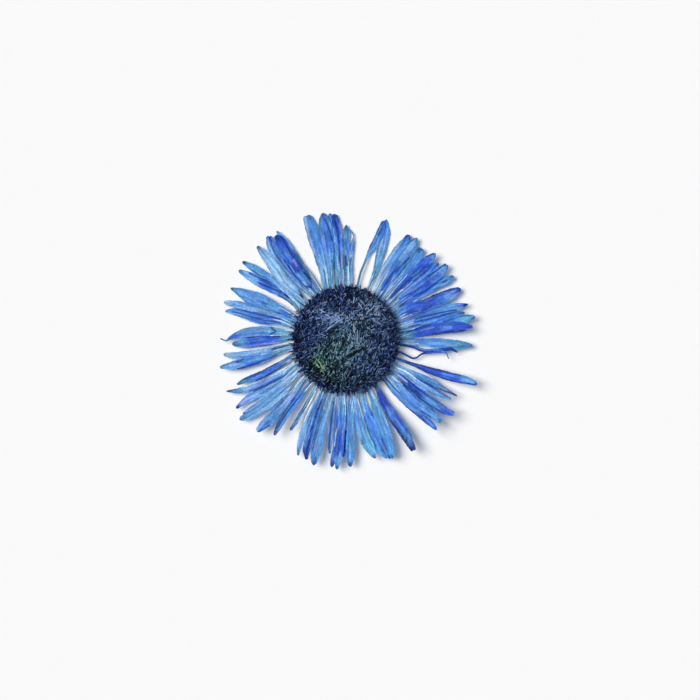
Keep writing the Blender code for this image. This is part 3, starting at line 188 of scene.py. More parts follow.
# For each strap: the tone along its middle, at distances s, and the marks on it. A mark is a tone, its strength, its
# half width in px and the points (s, v) that it runs through.
# Dark marks along the margins are partly the dye and partly painted shade, of curled edges and of the rays that lie
# over them. White and mist marks near the disc are partly pale bases and partly painted light for the bright slits
# between the rays.
LOOKS = {
    "ray_01": [("0 teal 8 aqua 20 sky 45 azure 66 azure 74 slate", [
        ("dteal", .6, .8, 0, -.3, 16, -.2), ("pale", .5, .9, 2, .4, 20, .3), ("slate", .5, .9, 12, .95, 46, .97),
        ("cobalt", .6, 1.8, 34, -.35, 52, -.5, 70, -.45), ("mist", .6, 1.1, 52, .85, 72, .55),
        ("dteal", .55, 1.6, 44, -.9, 66, -.9), ("slate", .5, 1.4, 66, -.9, 74, -.3), ("lilac", .5, 1.6, 34, .7, 52, .75)])],
    "ray_02": [("0 teal 12 sky 28 azure 40 cobalt 64 azure 73 slate", [
        ("dteal", .7, .8, 3, -.7, 26, -.6), ("lilac", .3, 1.4, 32, .3, 50, .45), ("royal", .5, 2.2, 40, -.1, 66, 0),
        ("navy", .8, .9, 45, -.85, 56, -.6, 68, -.1), ("peri", .4, 1.5, 42, .8, 62, .8), ("navy", .6, 1.2, 70, .3, 74, 0)])],
    "ray_03": [("0 aqua 12 teal 24 azure 45 sky 68 azure 73 slate", [
        ("dteal", .5, .8, 0, .4, 24, .5), ("slate", .45, .9, 20, -.9, 60, -.95), ("pale", .35, 1.2, 40, .2, 66, .1),
        ("slate", .4, .8, 28, .1, 55, -.2)])],
    "ray_04": [("0 teal 16 teal 26 slate 42 cobalt 60 royal 73 navy", [
        ("indigo", .6, .8, 20, .1, 45, 0), ("lilac", .8, 1, 20, -.6, 38, -.75), ("navy", .7, 1.7, 45, .1, 72, .1), ("lilac", .6, .9, 48, -.85, 62, -.85),
        ("sky", .45, 1, 24, .8, 50, .9)])],
    "ray_05_06": [
        ("0 slate 8 lilac 16 teal 30 azure 44 azure 53 aqua 60 slate", [
            ("navy", .7, 1.3, 21, -.1, 30, .1), ("royal", .6, 1.3, 37, -.3, 46, -.2), ("dteal", .5, .8, 5, .6, 30, .5), ("lilac", .8, .8, 22, .9, 38, .9),
            ("dteal", .7, 1.2, 56, 0, 61, 0), ("sky", .4, 1, 44, .4, 56, .3)]),
        ("0 azure 14 azure 30 pale 40 royal 48 slate 62 slate", [
            ("navy", .7, 1, 22, 0, 28, 0), ("pale", .7, .8, 28, .4, 34, .3), ("navy", .4, .7, 36, -.7, 62, -.6)])],
    "ray_07_08": [
        ("0 slate 28 teal 34 azure 50 azure 62 cobalt 72 royal", [
            ("dteal", .6, .7, 0, .3, 30, .3), ("navy", .6, .9, 36, .9, 48, .9), ("navy", .6, 1.4, 57, .2, 63, 0),
            ("ink", .7, 1.2, 68, .7, 72, .5), ("sky", .5, 1, 34, -.5, 52, -.6)]),
        ("0 slate 18 teal 30 sky 44 sky 58 sky 68 azure 73 royal", [
            ("pale", .4, 1, 28, .3, 52, .4), ("teal", .6, 1, 16, 0, 30, -.3), ("cobalt", .5, 1.8, 55, -.2, 72, 0),
            ("slate", .5, .8, 36, -.95, 66, -.95)])],
    "ray_09": [("0 mist 8 white 18 mist 28 sky 40 azure 56 azure 66 navy", [
        ("sky", .5, 2.5, 20, .2, 50, .2), ("cobalt", .65, 2, 56, -.1, 65, 0), ("mist", .6, .9, 14, .9, 56, .92),
        ("dteal", .5, .7, 0, -.4, 14, -.4)])],
    "ray_10": [("0 slate 10 cobalt 34 cobalt 48 azure 62 sky 69 teal", [
        ("navy", .75, 1.2, 6, 0, 25, 0, 36, -.35, 48, -.75), ("royal", .5, 2, 8, .2, 28, .2),
        ("peri", .5, 1.2, 24, .75, 40, .85), ("pale", .5, 1.8, 42, .3, 62, .2), ("dteal", .6, .8, 56, .95, 68, .6),
        ("navy", .5, .8, 60, -.95, 69, -.4)])],
    "ray_11": [("0 teal 10 lilac 26 sky 36 azure 56 azure 64 dteal", [
        ("cobalt", .6, 1.6, 30, -.6, 58, -.6), ("slate", .5, .7, 8, .3, 28, .2), ("mist", .5, .8, 2, .7, 22, .7),
        ("navy", .5, 1.2, 58, .2, 63, 0), ("slate", .4, 2, 40, .2, 52, .5)])],
    "ray_12": [("0 peri 10 cobalt 20 royal 46 royal 56 electric 64 azure 68 navy", [
        ("navy", .6, 1.1, 6, -.1, 34, 0), ("navy", .6, .9, 30, -.5, 60, -.75), ("electric", .7, 2.2, 48, .1, 62, .2),
        ("sky", .6, 1.2, 62, .2, 67, 0), ("white", .95, .9, -2, -.95, 20, -.98), ("navy", .7, .8, 60, .95, 67, .5), ("cobalt", .5, 1.3, 14, .6, 44, .7)])],
    "ray_13": [("0 teal 8 slate 16 peri 40 azure 58 cobalt 65 slate", [
        ("pale", .5, .7, 0, .4, 14, .4), ("white", .9, .8, 0, .95, 22, .98), ("navy", .65, .9, 18, -.8, 45, -.85), ("navy", .55, .9, 48, -.7, 65, .1),
        ("peri", .5, 1.8, 22, .2, 46, .2)])],
    "ray_14": [("0 teal 8 cobalt 18 royal 44 royal 54 cobalt 62 azure 71 navy", [
        ("navy", .6, .9, 18, .1, 36, -.1), ("violet", .65, 1.6, 35, -.25, 58, -.4), ("navy", .7, .8, 48, .8, 64, .6),
        ("sky", .7, 1.8, 60, .1, 68, .1), ("ink", .6, 1, 68, .4, 71, .2), ("peri", .4, 1.2, 20, .6, 46, .6)])],
    "ray_15": [("0 teal 8 cobalt 20 cobalt 46 cobalt 54 azure 64 azure 70 slate", [
        ("navy", .7, .9, 8, .5, 26, .5), ("violet", .85, 1.7, 34, .5, 50, .4), ("indigo", .7, 1.0, 42, .5, 48, .45), ("aqua", .5, 1.2, 46, -.3, 54, -.2), ("navy", .65, 1.2, 58, .1, 62, .1),
        ("slate", .6, .8, 60, -.9, 70, -.3), ("royal", .5, 1.4, 28, .4, 46, .5)])],
    "ray_16": [("0 slate 5 cobalt 12 royal 40 violet 50 cobalt 60 peri 70 royal", [
        ("navy", .8, 1.3, 32, .92, 52, .95, 69, .7), ("peri", .5, 2, 54, .1, 66, .1), ("teal", .5, 1.3, 50, -.8, 59, -.8),
        ("navy", .6, .9, 12, -.6, 36, -.7), ("cobalt", .5, 2, 8, .5, 24, .4), ("violet", .6, 2.2, 16, .1, 40, -.2), ("navy", .6, 1.2, 67, 0, 71, 0)])],
    "ray_17": [("0 slate 5 cobalt 12 violet 28 cobalt 44 azure 60 azure 65 peri 69 navy 72 ink", [
        ("navy", .75, .9, 18, 0, 40, -.3, 60, -.8), ("slate", .6, .8, 4, .2, 13, .2), ("violet", .4, 1.2, 63, .1, 67, .1),
        ("sky", .5, 1.5, 44, .3, 58, .2)])],
    "ray_18": [("0 teal 8 slate 20 cobalt 32 cobalt 52 cobalt 60 azure 67 slate", [
        ("navy", .65, .8, 18, .95, 60, .95), ("aqua", .5, 1.2, 22, 0, 31, 0), ("cobalt", .4, 1.2, 34, -.6, 58, -.5),
        ("navy", .5, 1, 63, 0, 67, 0)])],
    "ray_19": [("0 slate 10 cobalt 20 royal 46 royal 58 azure 62 aqua 74 teal", [
        ("cobalt", .5, 1.6, 20, .2, 56, .2), ("aqua", .7, 2.2, 62, .05, 74, .1), ("dteal", .7, .8, 58, .95, 73, .8),
        ("navy", .7, 1, 73, -.5, 77, -.3), ("navy", .4, .8, 20, -.8, 50, -.9)])],
    "ray_20": [("0 slate 10 teal 18 royal 44 royal 58 royal 73 violet", [
        ("navy", .7, 1, 8, .9, 32, .95), ("violet", .6, 2.2, 22, 0, 42, .1), ("peri", .65, 2, 43, 0, 51, 0),
        ("navy", .75, 1.5, 34, -.9, 66, -.9), ("violet", .5, 1.5, 56, .2, 70, .1),
        ("navy", .6, 1.2, 70, -.2, 73, 0)])],
    "ray_21": [("0 teal 8 slate 16 azure 40 azure 60 teal 72 slate", [
        ("cobalt", .65, 1.4, 15, .7, 40, .6), ("slate", .5, .7, 20, 1, 70, .98), ("sky", .4, 2, 30, -.2, 58, 0),
        ("pale", .5, .8, 4, -.6, 30, -.75)])],
    "ray_22": [
        ("0 slate 6 navy 18 navy 26 royal 40 royal 48 navy 58 navy", [
            ("navy", .6, .7, 0, -.6, 50, -.7), ("sky", .4, .6, 16, .4, 40, .4)]),
        ("0 slate 4 navy 26 ink 32 indigo 42 royal 50 slate 56 slate", [("sky", .4, .6, 34, .3, 46, .3)])],
    "ray_23": [("0 slate 12 navy 26 indigo 42 royal 52 cobalt 60 royal 70 azure 78 azure 82 navy", [
        ("indigo", .8, 1.6, 36, -.3, 46, -.3), ("peri", .6, 1.0, 46, .3, 58, .2),
        ("navy", .75, 1, 14, .9, 50, .95, 64, .9), ("navy", .75, 1, 16, -.9, 46, -.95, 66, -.9),
        ("violet", .6, 1.4, 50, -.2, 63, -.1), ("sky", .5, 1.5, 67, .3, 77, .1), ("navy", .8, .9, 64, -.95, 82, -.5)])],
    # ray_24's white upper margin near the disc is painted light, on the band that ray 23's shadow covers
    "ray_24": [("0 mist 8 sky 18 azure 44 azure 50 slate 60 slate 64 navy 68 ink", [("white", .97, 1.0, 0, .8, 20, .92, 38, .97), 
        ("navy", .65, .9, 22, -.85, 45, -.9, 62, -.6), ("sky", .4, 1.6, 18, .3, 40, .3), ("cobalt", .5, 1.4, 30, -.1, 46, 0),
        ("mist", .5, .6, 48, .2, 57, .2)])],
    "ray_25": [("0 mist 8 pale 18 sky 30 azure 54 sky 62 sky 65 azure", [
        ("navy", .7, .8, 24, .9, 45, .95, 62, .7), ("white", .9, .8, 4, .5, 24, .35), ("lilac", .6, .9, 24, -.9, 56, -.9), ("sky", .4, 1.4, 10, -.2, 40, -.1)])],
    "ray_26": [("0 slate 8 azure 18 royal 36 royal 46 azure 58 azure 66 royal 76 violet", [("navy", .85, 1.5, 10, -.6, 22, -.5, 34, -.3), 
        ("navy", .6, 1.8, 18, .1, 38, 0), ("azure", .6, 1.6, 44, .1, 58, .1), ("mist", .7, .8, 8, .3, 19, .3), ("mist", .6, .6, 4, -.6, 14, -.7), ("violet", .6, 1.8, 58, .1, 70, .1),
        ("navy", .7, .9, 8, .95, 66, .98), ("navy", .8, 1.0, 20, -.72, 66, -.72), ("sky", .5, 1, 50, -.3, 60, -.2), ("azure", .7, 1, 74, 0, 77, .1)])],
    "ray_27": [("0 teal 8 azure 26 azure 40 cobalt 58 azure 66 azure 70 slate", [
        ("white", .8, .7, 4, .9, 17, .92), ("navy", .7, .8, 18, .95, 60, .97), ("peri", .4, 2, 20, 0, 50, 0), ("navy", .6, .8, 48, -.6, 60, -.7),
        ("navy", .6, 1, 66, .2, 70, 0)])],
    "ray_28": [("0 slate 10 azure 28 cobalt 46 cobalt 60 royal 70 royal", [
        ("navy", .6, .8, 0, .7, 30, .75, 48, .6, 60, .5), ("navy", .7, .9, 34, -.95, 68, -.9), ("sky", .4, 1.2, 16, 0, 44, 0),
        ("navy", .7, .8, 68, .3, 70, 0), ("peri", .5, 1.2, 54, .1, 66, 0)])],
    "ray_29": [("0 slate 5 indigo 20 indigo 26 cobalt 36 royal 48 cobalt 60 slate 70 ink", [
        ("violet", .6, 2, 8, 0, 20, 0), ("peri", .7, 2, 21, .1, 30, .1), ("royal", .5, 1.5, 30, 0, 34, 0),
        ("peri", .6, 1.8, 34, .1, 41, .1), ("navy", .75, 1, 49, .7, 60, -.5), ("ink", .8, 1.4, 67, -.5, 71, 0),
        ("ink", .9, 1.2, 24, -.92, 64, -.88), ("azure", .6, 1.6, 44, .2, 56, .3)])],
    "ray_30": [("0 teal 8 teal 30 azure 46 azure 68 azure", [
        ("royal", .55, 1.5, 46, -.5, 62, -.45), ("navy", .5, .8, 48, -.7, 60, -.65), ("pale", .5, 1.2, 8, .8, 36, .9),
        ("teal", .5, 1.4, 52, .6, 66, .5), ("navy", .8, .9, 66, -.5, 69, -.45), ("navy", .7, .8, 66, .3, 69, .25)])],
    "ray_32": [("0 teal 10 azure 24 cobalt 60 azure 70 azure", [
        ("cobalt", .6, 1.8, 28, .3, 50, .3), ("royal", .5, 1.6, 48, 0, 62, .1), ("sky", .4, 1, 18, -.8, 46, -.85),
        ("navy", .5, .7, 22, .95, 50, .98)])],
    "ray_31": [("0 teal 8 sky 26 azure 34 sky 50 aqua 62 aqua 68 plum", [
        ("pale", .5, .8, 0, .3, 24, .3), ("aqua", .5, 2, 34, .2, 62, .1), ("navy", .55, 1.1, 46, -.6, 50, -.6),
        ("plum", .8, 1.3, 66, 0, 69, 0), ("cobalt", .4, 1.2, 20, -.6, 44, -.6)])],
    "ray_33": [
        ("0 teal 10 azure 36 azure 66 azure 72 navy", [
            ("teal", .45, 1.4, 10, .5, 60, .6), ("sky", .4, 1.4, 40, 0, 64, 0), ("navy", .7, .8, 69, 0, 73, 0),
            ("slate", .4, .8, 4, -.6, 30, -.6)]),
        ("0 slate 6 azure 34 azure 42 azure 62 royal", [
            ("navy", .8, 1.6, 38, 0, 56, -.1), ("mist", .5, .7, 5, -.3, 20, -.3), ("navy", .6, 1, 56, 0, 62, 0)])],
    "ray_34_35": [
        ("0 mist 5 lilac 12 teal 20 azure 28 cobalt 40 royal 60 royal 67 sky 75 dteal", [("white", .97, .9, 36, -.97, 52, -.99), 
            ("navy", .6, .9, 32, .2, 60, -.2), ("navy", .5, .8, 36, -.7, 58, -.7), ("sky", .6, 1.1, 58, .4, 72, .3),
            ("dteal", .6, 1, 72, 0, 75, 0), ("peri", .4, 1.2, 30, .6, 50, .6)]),
        ("0 slate 14 azure 28 royal 62 cobalt 73 navy", [
            ("navy", .6, .9, 30, .5, 64, .5), ("cobalt", .5, 1, 34, -.4, 62, -.4), ("navy", .6, 1, 70, 0, 73, 0)])],
    # ray_36's white margin near the disc is painted light for the lit slit of paper beside it
    "ray_36": [("0 slate 8 aqua 18 azure 26 azure 42 azure 52 slate 60 moss", [
        ("navy", .8, .8, 4, -.1, 30, -.1, 56, -.6), ("violet", .5, 1, 22, .3, 40, .2), ("white", .97, .85, 1, -.8, 22, -.95), ("lilac", .8, .8, 22, -.95, 40, -.95)])],
    "ray_37": [("0 slate 10 teal 24 azure 40 azure 66 azure 73 navy", [
        ("dteal", .65, .9, 24, -.8, 60, -.85), ("pale", .5, 1.4, 8, .5, 36, .5), ("lilac", .35, 1.4, 30, -.2, 60, -.3),
        ("navy", .7, 1, 70, 0, 73, 0), ("slate", .4, .8, 2, -.4, 20, -.4)])],
    # ray_38's dark teal margin on the side of ray 37 is painted shadow of ray 37
    "ray_38": [("0 slate 8 cobalt 34 cobalt 52 royal 69 navy", [
        ("dteal", .6, 1, 6, .9, 50, .95), ("navy", .7, 1.6, 8, 0, 40, -.1), ("navy", .7, 1.7, 50, .2, 68, 0),
        ("sky", .5, 1.3, 20, -.8, 56, -.8), ("peri", .4, 1.2, 30, .5, 50, .5)])],
    "ray_39": [("0 teal 12 sky 50 sky 67 slate", [("white", .98, 1.2, 0, -.7, 16, -.8, 32, -.95), 
        ("pale", .6, 1, 10, -.6, 58, -.6), ("teal", .5, .9, 16, .8, 56, .8), ("slate", .6, 1, 62, 0, 67, 0)])],
    "ray_40": [("0 slate 10 teal 36 azure 48 slate", [
        ("dteal", .8, .8, 4, .2, 26, .3), ("white", .97, .9, 2, .95, 36, .95), ("lilac", .7, .7, 24, -.95, 40, -.95), ("navy", .5, .8, 14, -.9, 44, -.8),
        ("plum", .5, .8, 45, 0, 48, 0)])],
    "ray_41": [("0 slate 8 slate 16 cobalt 34 azure 52 slate 61 plum", [
        ("navy", .7, .8, 12, -.1, 54, -.1), ("cobalt", .5, 1, 20, .6, 50, .6), ("navy", .6, .8, 20, -.9, 58, -.9),
        ("plum", .7, 1.2, 57, 0, 61, 0)])],
    "ray_42": [("0 dteal 10 teal 26 azure 50 azure 60 sky 70 sky", [
        ("navy", .7, .9, 0, .85, 26, .9), ("lilac", .65, 2.2, 20, .1, 42, .1), ("royal", .6, 2, 57, .2, 67, .1),
        ("navy", .7, .9, 58, .9, 70, .5), ("mist", .55, .9, 48, -.9, 69, -.8), ("slate", .4, .8, 20, -.6, 50, -.6)])],
    "ray_43": [
        ("0 teal 12 teal 22 sky 60 sky 70 sky 77 teal", [
            ("slate", .6, .9, 20, -.6, 60, -.5), ("dteal", .4, .8, 24, .1, 66, .1), ("pale", .5, 1.5, 26, .5, 56, .5),
            ("dteal", .5, .9, 30, -.95, 70, -.9)]),
        ("0 mist 14 mist 26 sky 56 sky 66 sky 69 slate", [
            ("slate", .6, .7, 22, 0, 42, 0), ("slate", .5, .7, 30, .6, 46, .6)])],
    # ray_44's navy margin towards ray 45 is painted shadow of ray 45
    "ray_44": [("0 teal 10 azure 24 sky 36 sky 46 sky 66 peri 73 navy", [
        ("slate", .6, .9, 34, .1, 46, .2), ("navy", .6, .9, 18, -.85, 50, -.9), ("lilac", .5, 1.6, 48, .1, 66, 0),
        ("slate", .5, .8, 4, .2, 22, .1), ("navy", .6, 1, 70, 0, 74, 0)])],
    "ray_45": [("0 mist 12 pale 24 sky 34 peri 52 sky 62 teal 72 plum", [
        ("royal", .7, .9, 15, .85, 50, .85), ("white", .97, .9, 0, -.8, 20, -.9, 54, -.97), ("navy", .5, .7, 17, .95, 50, .95), ("lilac", .6, 1.3, 25, -.1, 55, 0),
        ("plum", .7, 1, 70, 0, 74, 0), ("slate", .5, .9, 56, .5, 68, .4)])],
    "ray_46": [("0 slate 8 slate 16 cobalt 44 cobalt 54 teal 61 dteal", [
        ("ink", .8, 1, 8, .9, 42, .95), ("violet", .6, 1.4, 24, -.1, 42, 0), ("navy", .7, .9, 16, -.95, 56, -.9),
        ("cobalt", .5, 1, 20, .3, 44, .3)])],
    "ray_47": [("0 slate 14 teal 26 azure 44 cobalt 58 sky 68 sky 73 moss", [
        ("navy", .75, 1.1, 14, .9, 56, .95), ("navy", .6, 1.1, 49, -.6, 56, -.5), ("sky", .5, 1.8, 30, -.2, 50, -.2),
        ("slate", .5, 1, 66, 0, 73, 0), ("royal", .45, 1.3, 22, .4, 46, .5)])],
    "ray_48": [("0 cyan 12 teal 24 sky 52 sky 60 pale 65 pale 68 moss", [
        ("navy", .6, .8, 0, 0, 20, 0), ("pale", .5, 1.4, 26, -.4, 54, -.3), ("mist", .4, 1, 58, 0, 67, 0),
        ("royal", .3, 1, 20, .8, 44, .85)])],
    "ray_49": [("0 teal 6 cyan 15 cyan 22 sky 50 sky 58 cobalt 64 slate 68 dteal 72 navy", [
        ("navy", .75, .9, 21, .6, 15.5, 0, 21, -.7), ("cobalt", .6, .9, 16, .8, 60, .8), ("royal", .5, .9, 24, .4, 56, .3),
        ("violet", .6, 1.1, 57, 0, 63, 0), ("sky", .5, 1.6, 26, -.3, 50, -.2), ("pale", .4, .8, 2, -.4, 14, -.4)])],
    # ray_50's navy margin towards ray 49 is painted shadow of ray 49
    "ray_50": [("0 slate 8 cyan 14 royal 42 royal 50 azure 60 moss", [
        ("navy", .5, .9, 12, -.4, 40, -.5), ("violet", .45, 1.8, 16, .1, 36, .2), ("lilac", .6, .9, 12, .95, 54, .95),
        ("azure", .6, 1.6, 44, 0, 56, 0), ("navy", .6, .8, 26, -.95, 44, -.95)])],
    "ray_51": [("0 teal 10 sky 40 sky 62 sky 71 mist", [
        ("aqua", .5, 1.2, 26, 0, 34, 0), ("lilac", .5, 1.4, 14, .2, 52, .2), ("azure", .45, 1.4, 40, -.4, 64, -.3),
        ("slate", .45, .7, 10, -.9, 60, -.95), ("teal", .5, 1, 68, 0, 71, 0)])],
    # the navy line on ray_52's half towards ray 51 is painted shadow of ray 51
    "ray_52": [("0 slate 10 azure 16 cobalt 44 cobalt 58 azure 66 azure 69 slate", [
        ("navy", .75, .8, 12, .35, 40, .2, 62, .3), ("navy", .7, .8, 14, -.4, 38, -.5, 58, -.6),
        ("sky", .6, 1, 44, .85, 68, .6), ("peri", .4, 1, 20, 0, 46, -.1), ("sky", .4, .9, 40, -.95, 60, -.9)])],
    "ray_53": [("0 azure 8 cobalt 20 azure 40 azure 60 azure 71 moss", [
        ("dteal", .7, .9, 3, -.9, 5.5, 0, 3, .9), ("navy", .5, .7, 14, .7, 31, .55), ("navy", .5, 1, 31, .1, 36, .1),
        ("aqua", .5, 1.2, 18, 0, 23, 0), ("sky", .45, 2.2, 38, .3, 60, .2), ("peri", .4, 2, 30, -.3, 56, -.3),
        ("dteal", .7, 1.3, 68, 0, 71, 0)])],
    "ray_54": [("0 moss 8 teal 16 azure 24 cobalt 46 royal 54 sky 66 sky 73 moss", [
        ("navy", .7, .8, 8, .8, 26, .85), ("ink", .9, 1.2, 16, -.1, 21, -.1), ("navy", .6, .8, 25, .1, 49, .3), ("indigo", .6, .9, 26, -.3, 50, -.25), ("pale", .5, .7, 28, .45, 34, .5), ("peri", .5, .7, 36, -.6, 44, -.6),
        ("sky", .6, 1.2, 44, .85, 66, .8), ("navy", .65, .9, 38, -.7, 62, -.6), ("slate", .6, 1, 69, 0, 73, 0),
        ("cobalt", .5, 1.3, 26, .6, 42, .6)])],
    "ray_55": [("0 teal 10 sky 36 sky 48 azure 68 aqua 74 dteal", [
        ("pale", .5, .7, 0, .3, 28, .3), ("dteal", .5, .7, 4, -.4, 40, -.5), ("navy", .6, .8, 48, .7, 62, .6),
        ("azure", .5, 1.6, 46, -.2, 68, -.1), ("navy", .6, 1, 71, 0, 74, 0)])],
    "ray_56": [("0 teal 10 sky 20 pale 64 pale 70 sky 73 slate", [
        ("ink", .8, 1.2, 5, -.6, 8.5, -.6), ("slate", .55, .8, 10, -.8, 42, -.85), ("pale", .45, 2.4, 16, .3, 56, .2),
        ("aqua", .4, 2, 40, -.3, 66, -.1), ("slate", .6, 1, 70, 0, 74, 0), ("moss", .5, .8, 0, .5, 10, .4)])],
    "ray_57": [("0 teal 10 azure 20 sky 50 sky 66 sky 75 cobalt", [
        ("royal", .62, 1.6, 14, -.6, 44, -.6, 70, -.6), ("navy", .55, .9, 30, -.2, 74, -.15),
        ("lilac", .6, .9, 54, .95, 72, .85), ("sky", .5, 1.5, 20, .5, 60, .5), ("navy", .7, 1.4, 70, -.3, 75, -.1),
        ("teal", .5, .9, 0, .3, 14, .3)])],
    "ray_58": [("0 teal 6 cobalt 12 cobalt 26 cobalt 32 royal 42 royal 50 cobalt 62 royal 71 navy", [
        ("navy", .75, .9, 12, .8, 7.5, 0, 11, -.7), ("sky", .5, 1.8, 14, .1, 26, .2), ("navy", .6, .8, 28, .35, 44, .2), ("indigo", .7, 1.6, 28, -.1, 42, -.1), ("pale", .55, .7, 30, .6, 38, .62),
        ("peri", .6, 1.8, 40, 0, 54, -.1), ("navy", .75, 1, 8, .95, 46, .97), ("navy", .85, 1.5, 12, -.95, 68, -.9),
        ("royal", .5, 1.8, 54, .3, 66, .2), ("navy", .8, 1.4, 66, .2, 71, 0), ("lilac", .35, 1.5, 34, -.3, 40, -.4)])],
    # ray_59's slate middle stretch is painted shade, where ray 58 shades it
    "ray_59": [("0 teal 10 slate 20 slate 40 slate 50 azure 62 sky 71 azure 74 slate", [
        ("navy", .7, .9, 12, .9, 60, .95), ("dteal", .5, 1.0, 20, -.4, 50, -.3),
        ("azure", .6, 1.4, 58, 0, 72, 0), ("moss", .6, .9, 72, 0, 75, 0)])],
}

# Tips: how long the rounding is next to half the tip's width, how deep the notch is in px, and where it lies across.
TIPS = {
    "ray_01": (.5, 0.96, .25), "ray_02": (1.0, 0.60, -.3), "ray_04": (.8, 0.48, .3), "ray_09": (1.2, 0.36, .2),
    "ray_11": (.7, 0.84, 0), "ray_14": (.6, 1.08, .2), "ray_15": (.9, 0.30, 0), "ray_27": (.6, 1.20, .1), "ray_29": (.6, 1.08, -.1),
    "ray_30": (.6, 1.08, 0), "ray_32": (.8, 0.60, .2), "ray_42": (.9, 0.48, -.3), "ray_57": (.7, 1.20, -.2), "ray_58": (.9, 0.72, .1),
    "ray_38": (.8, 0.84, .3), "ray_56": (1.1, 0.24, 0), "ray_26": (1.0, 0.42, .2),
}
SKY_RAYS = ("01", "09", "10", "21", "30", "31", "33", "37", "39", "43", "44", "45", "47", "48", "49", "51", "53", "55", "56", "57")
VIOLET_RAYS = ("12", "15", "20", "23", "29", "46", "58")
FREE_RAYS = ("07", "21", "22", "23", "28", "29", "40", "48", "49")  # no neighbour over or under them for most of their length


# ---------------------------------------------------------------- materials
class Graph:
    """A short way to write a node tree."""

    def __init__(self, name):
        self.mat = bpy.data.materials.new(name)
        self.mat.use_nodes = True
        self.nodes, self.links = self.mat.node_tree.nodes, self.mat.node_tree.links
        self.shader = self.nodes["Principled BSDF"]

    def put(self, socket, value):
        if isinstance(value, bpy.types.NodeSocket):
            self.links.new(value, socket)
        else:
            socket.default_value = value

    def attribute(self, name, output):
        node = self.nodes.new("ShaderNodeAttribute")
        node.attribute_name = name
        return node.outputs[output]

    def math(self, op, a, b=0.0, clamp=False):
        node = self.nodes.new("ShaderNodeMath")
        node.operation = op
        node.use_clamp = clamp
        self.put(node.inputs[0], a)
        self.put(node.inputs[1], b)
        return node.outputs[0]

    def stretch(self, vector, by, shift=(0, 0, 0)):
        node = self.nodes.new("ShaderNodeVectorMath")
        node.operation = "MULTIPLY_ADD"
        self.put(node.inputs[0], vector)
        node.inputs[1].default_value = by
        node.inputs[2].default_value = shift
        return node.outputs[0]

    def noise(self, vector, scale=1.0, detail=2.0, rough=0.5, distortion=0.0):
        node = self.nodes.new("ShaderNodeTexNoise")
        self.put(node.inputs["Vector"], vector)
        node.inputs["Scale"].default_value = scale
        node.inputs["Detail"].default_value = detail
        node.inputs["Roughness"].default_value = rough
        node.inputs["Distortion"].default_value = distortion
        return node.outputs["Fac"]

    def span(self, value, a0, a1, b0, b1):
        node = self.nodes.new("ShaderNodeMapRange")
        self.put(node.inputs["Value"], value)
        for key, x in (("From Min", a0), ("From Max", a1), ("To Min", b0), ("To Max", b1)):
            node.inputs[key].default_value = x
        return node.outputs["Result"]

    def mix(self, fac, a, b, blend="MIX"):
        node = self.nodes.new("ShaderNodeMix")
        node.data_type = "RGBA"
        node.blend_type = blend
        self.put(node.inputs["Factor"], fac)
        first, second = [i for i in node.inputs if i.type == "RGBA"]
        self.put(first, a)
        self.put(second, b)
        return [o for o in node.outputs if o.type == "RGBA"][0]

    def shade(self, colour, value):
        """The colour times a grey value."""
        grey = self.nodes.new("ShaderNodeCombineColor")
        for k in range(3):
            self.put(grey.inputs[k], value)
        return self.mix(1.0, colour, grey.outputs[0], "MULTIPLY")

    def bump(self, height, distance, strength):
        node = self.nodes.new("ShaderNodeBump")
        node.inputs["Strength"].default_value = strength
        node.inputs["Distance"].default_value = distance
        self.put(node.inputs["Height"], height)
        self.links.new(node.outputs["Normal"], self.shader.inputs["Normal"])


def tissue(name, streaks, violet, rough):
    """Dried, dyed ray tissue: the painted tone with fibre streaks, dye blotches and a fine stipple."""
    g = Graph(name)
    grain = g.attribute("grain", "Vector")
    fibre = g.noise(g.stretch(grain, (1.15, 5.2, 3.1)), 1.0, 3.0, 0.65, 0.3)
    veins = g.noise(g.stretch(grain, (0.38, 3.3, 1.7), (3.0, 0.0, 9.0)), 1.0, 2.0, 0.5, 0.2)
    pools = g.noise(g.stretch(grain, (0.8, 1.5, 2.3), (0.0, 5.0, 0.0)), 1.0, 3.0, 0.55, 0.6)
    stipple = g.noise(g.stretch(grain, (5.5, 6.5, 5.0)), 1.0, 2.0, 0.8)
    col = g.attribute("paint", "Color")
    col = g.shade(col, g.span(fibre, 0.30, 0.70, 1.0 - streaks, 1.0 + streaks))
    col = g.shade(col, g.span(veins, 0.38, 0.60, 0.74, 1.16))
    col = g.mix(g.span(pools, 0.52, 0.66, 0.0, 0.34), col, (*(TONE["violet"] if violet else TONE["cobalt"]), 1.0))
    col = g.mix(g.span(pools, 0.44, 0.32, 0.0, 0.30), col, (*TONE["aqua"], 1.0))
    col = g.shade(col, g.span(stipple, 0.34, 0.66, 0.74, 1.28))
    g.put(g.shader.inputs["Base Color"], col)
    g.put(g.shader.inputs["Roughness"], g.span(fibre, 0.3, 0.7, rough - 0.08, rough + 0.10))
    g.shader.inputs["Specular IOR Level"].default_value = 0.14
    g.shader.inputs["Subsurface Weight"].default_value = 0.3
    g.shader.inputs["Subsurface Radius"].default_value = (0.85, 0.92, 1.0)
    g.shader.inputs["Subsurface Scale"].default_value = 0.00003
    height = g.math("ADD", g.math("MULTIPLY", fibre, 0.7), g.math("MULTIPLY", stipple, 0.25))
    g.bump(g.math("ADD", height, g.math("MULTIPLY", veins, 0.9)), 0.00003, 0.55)
    return g.mat


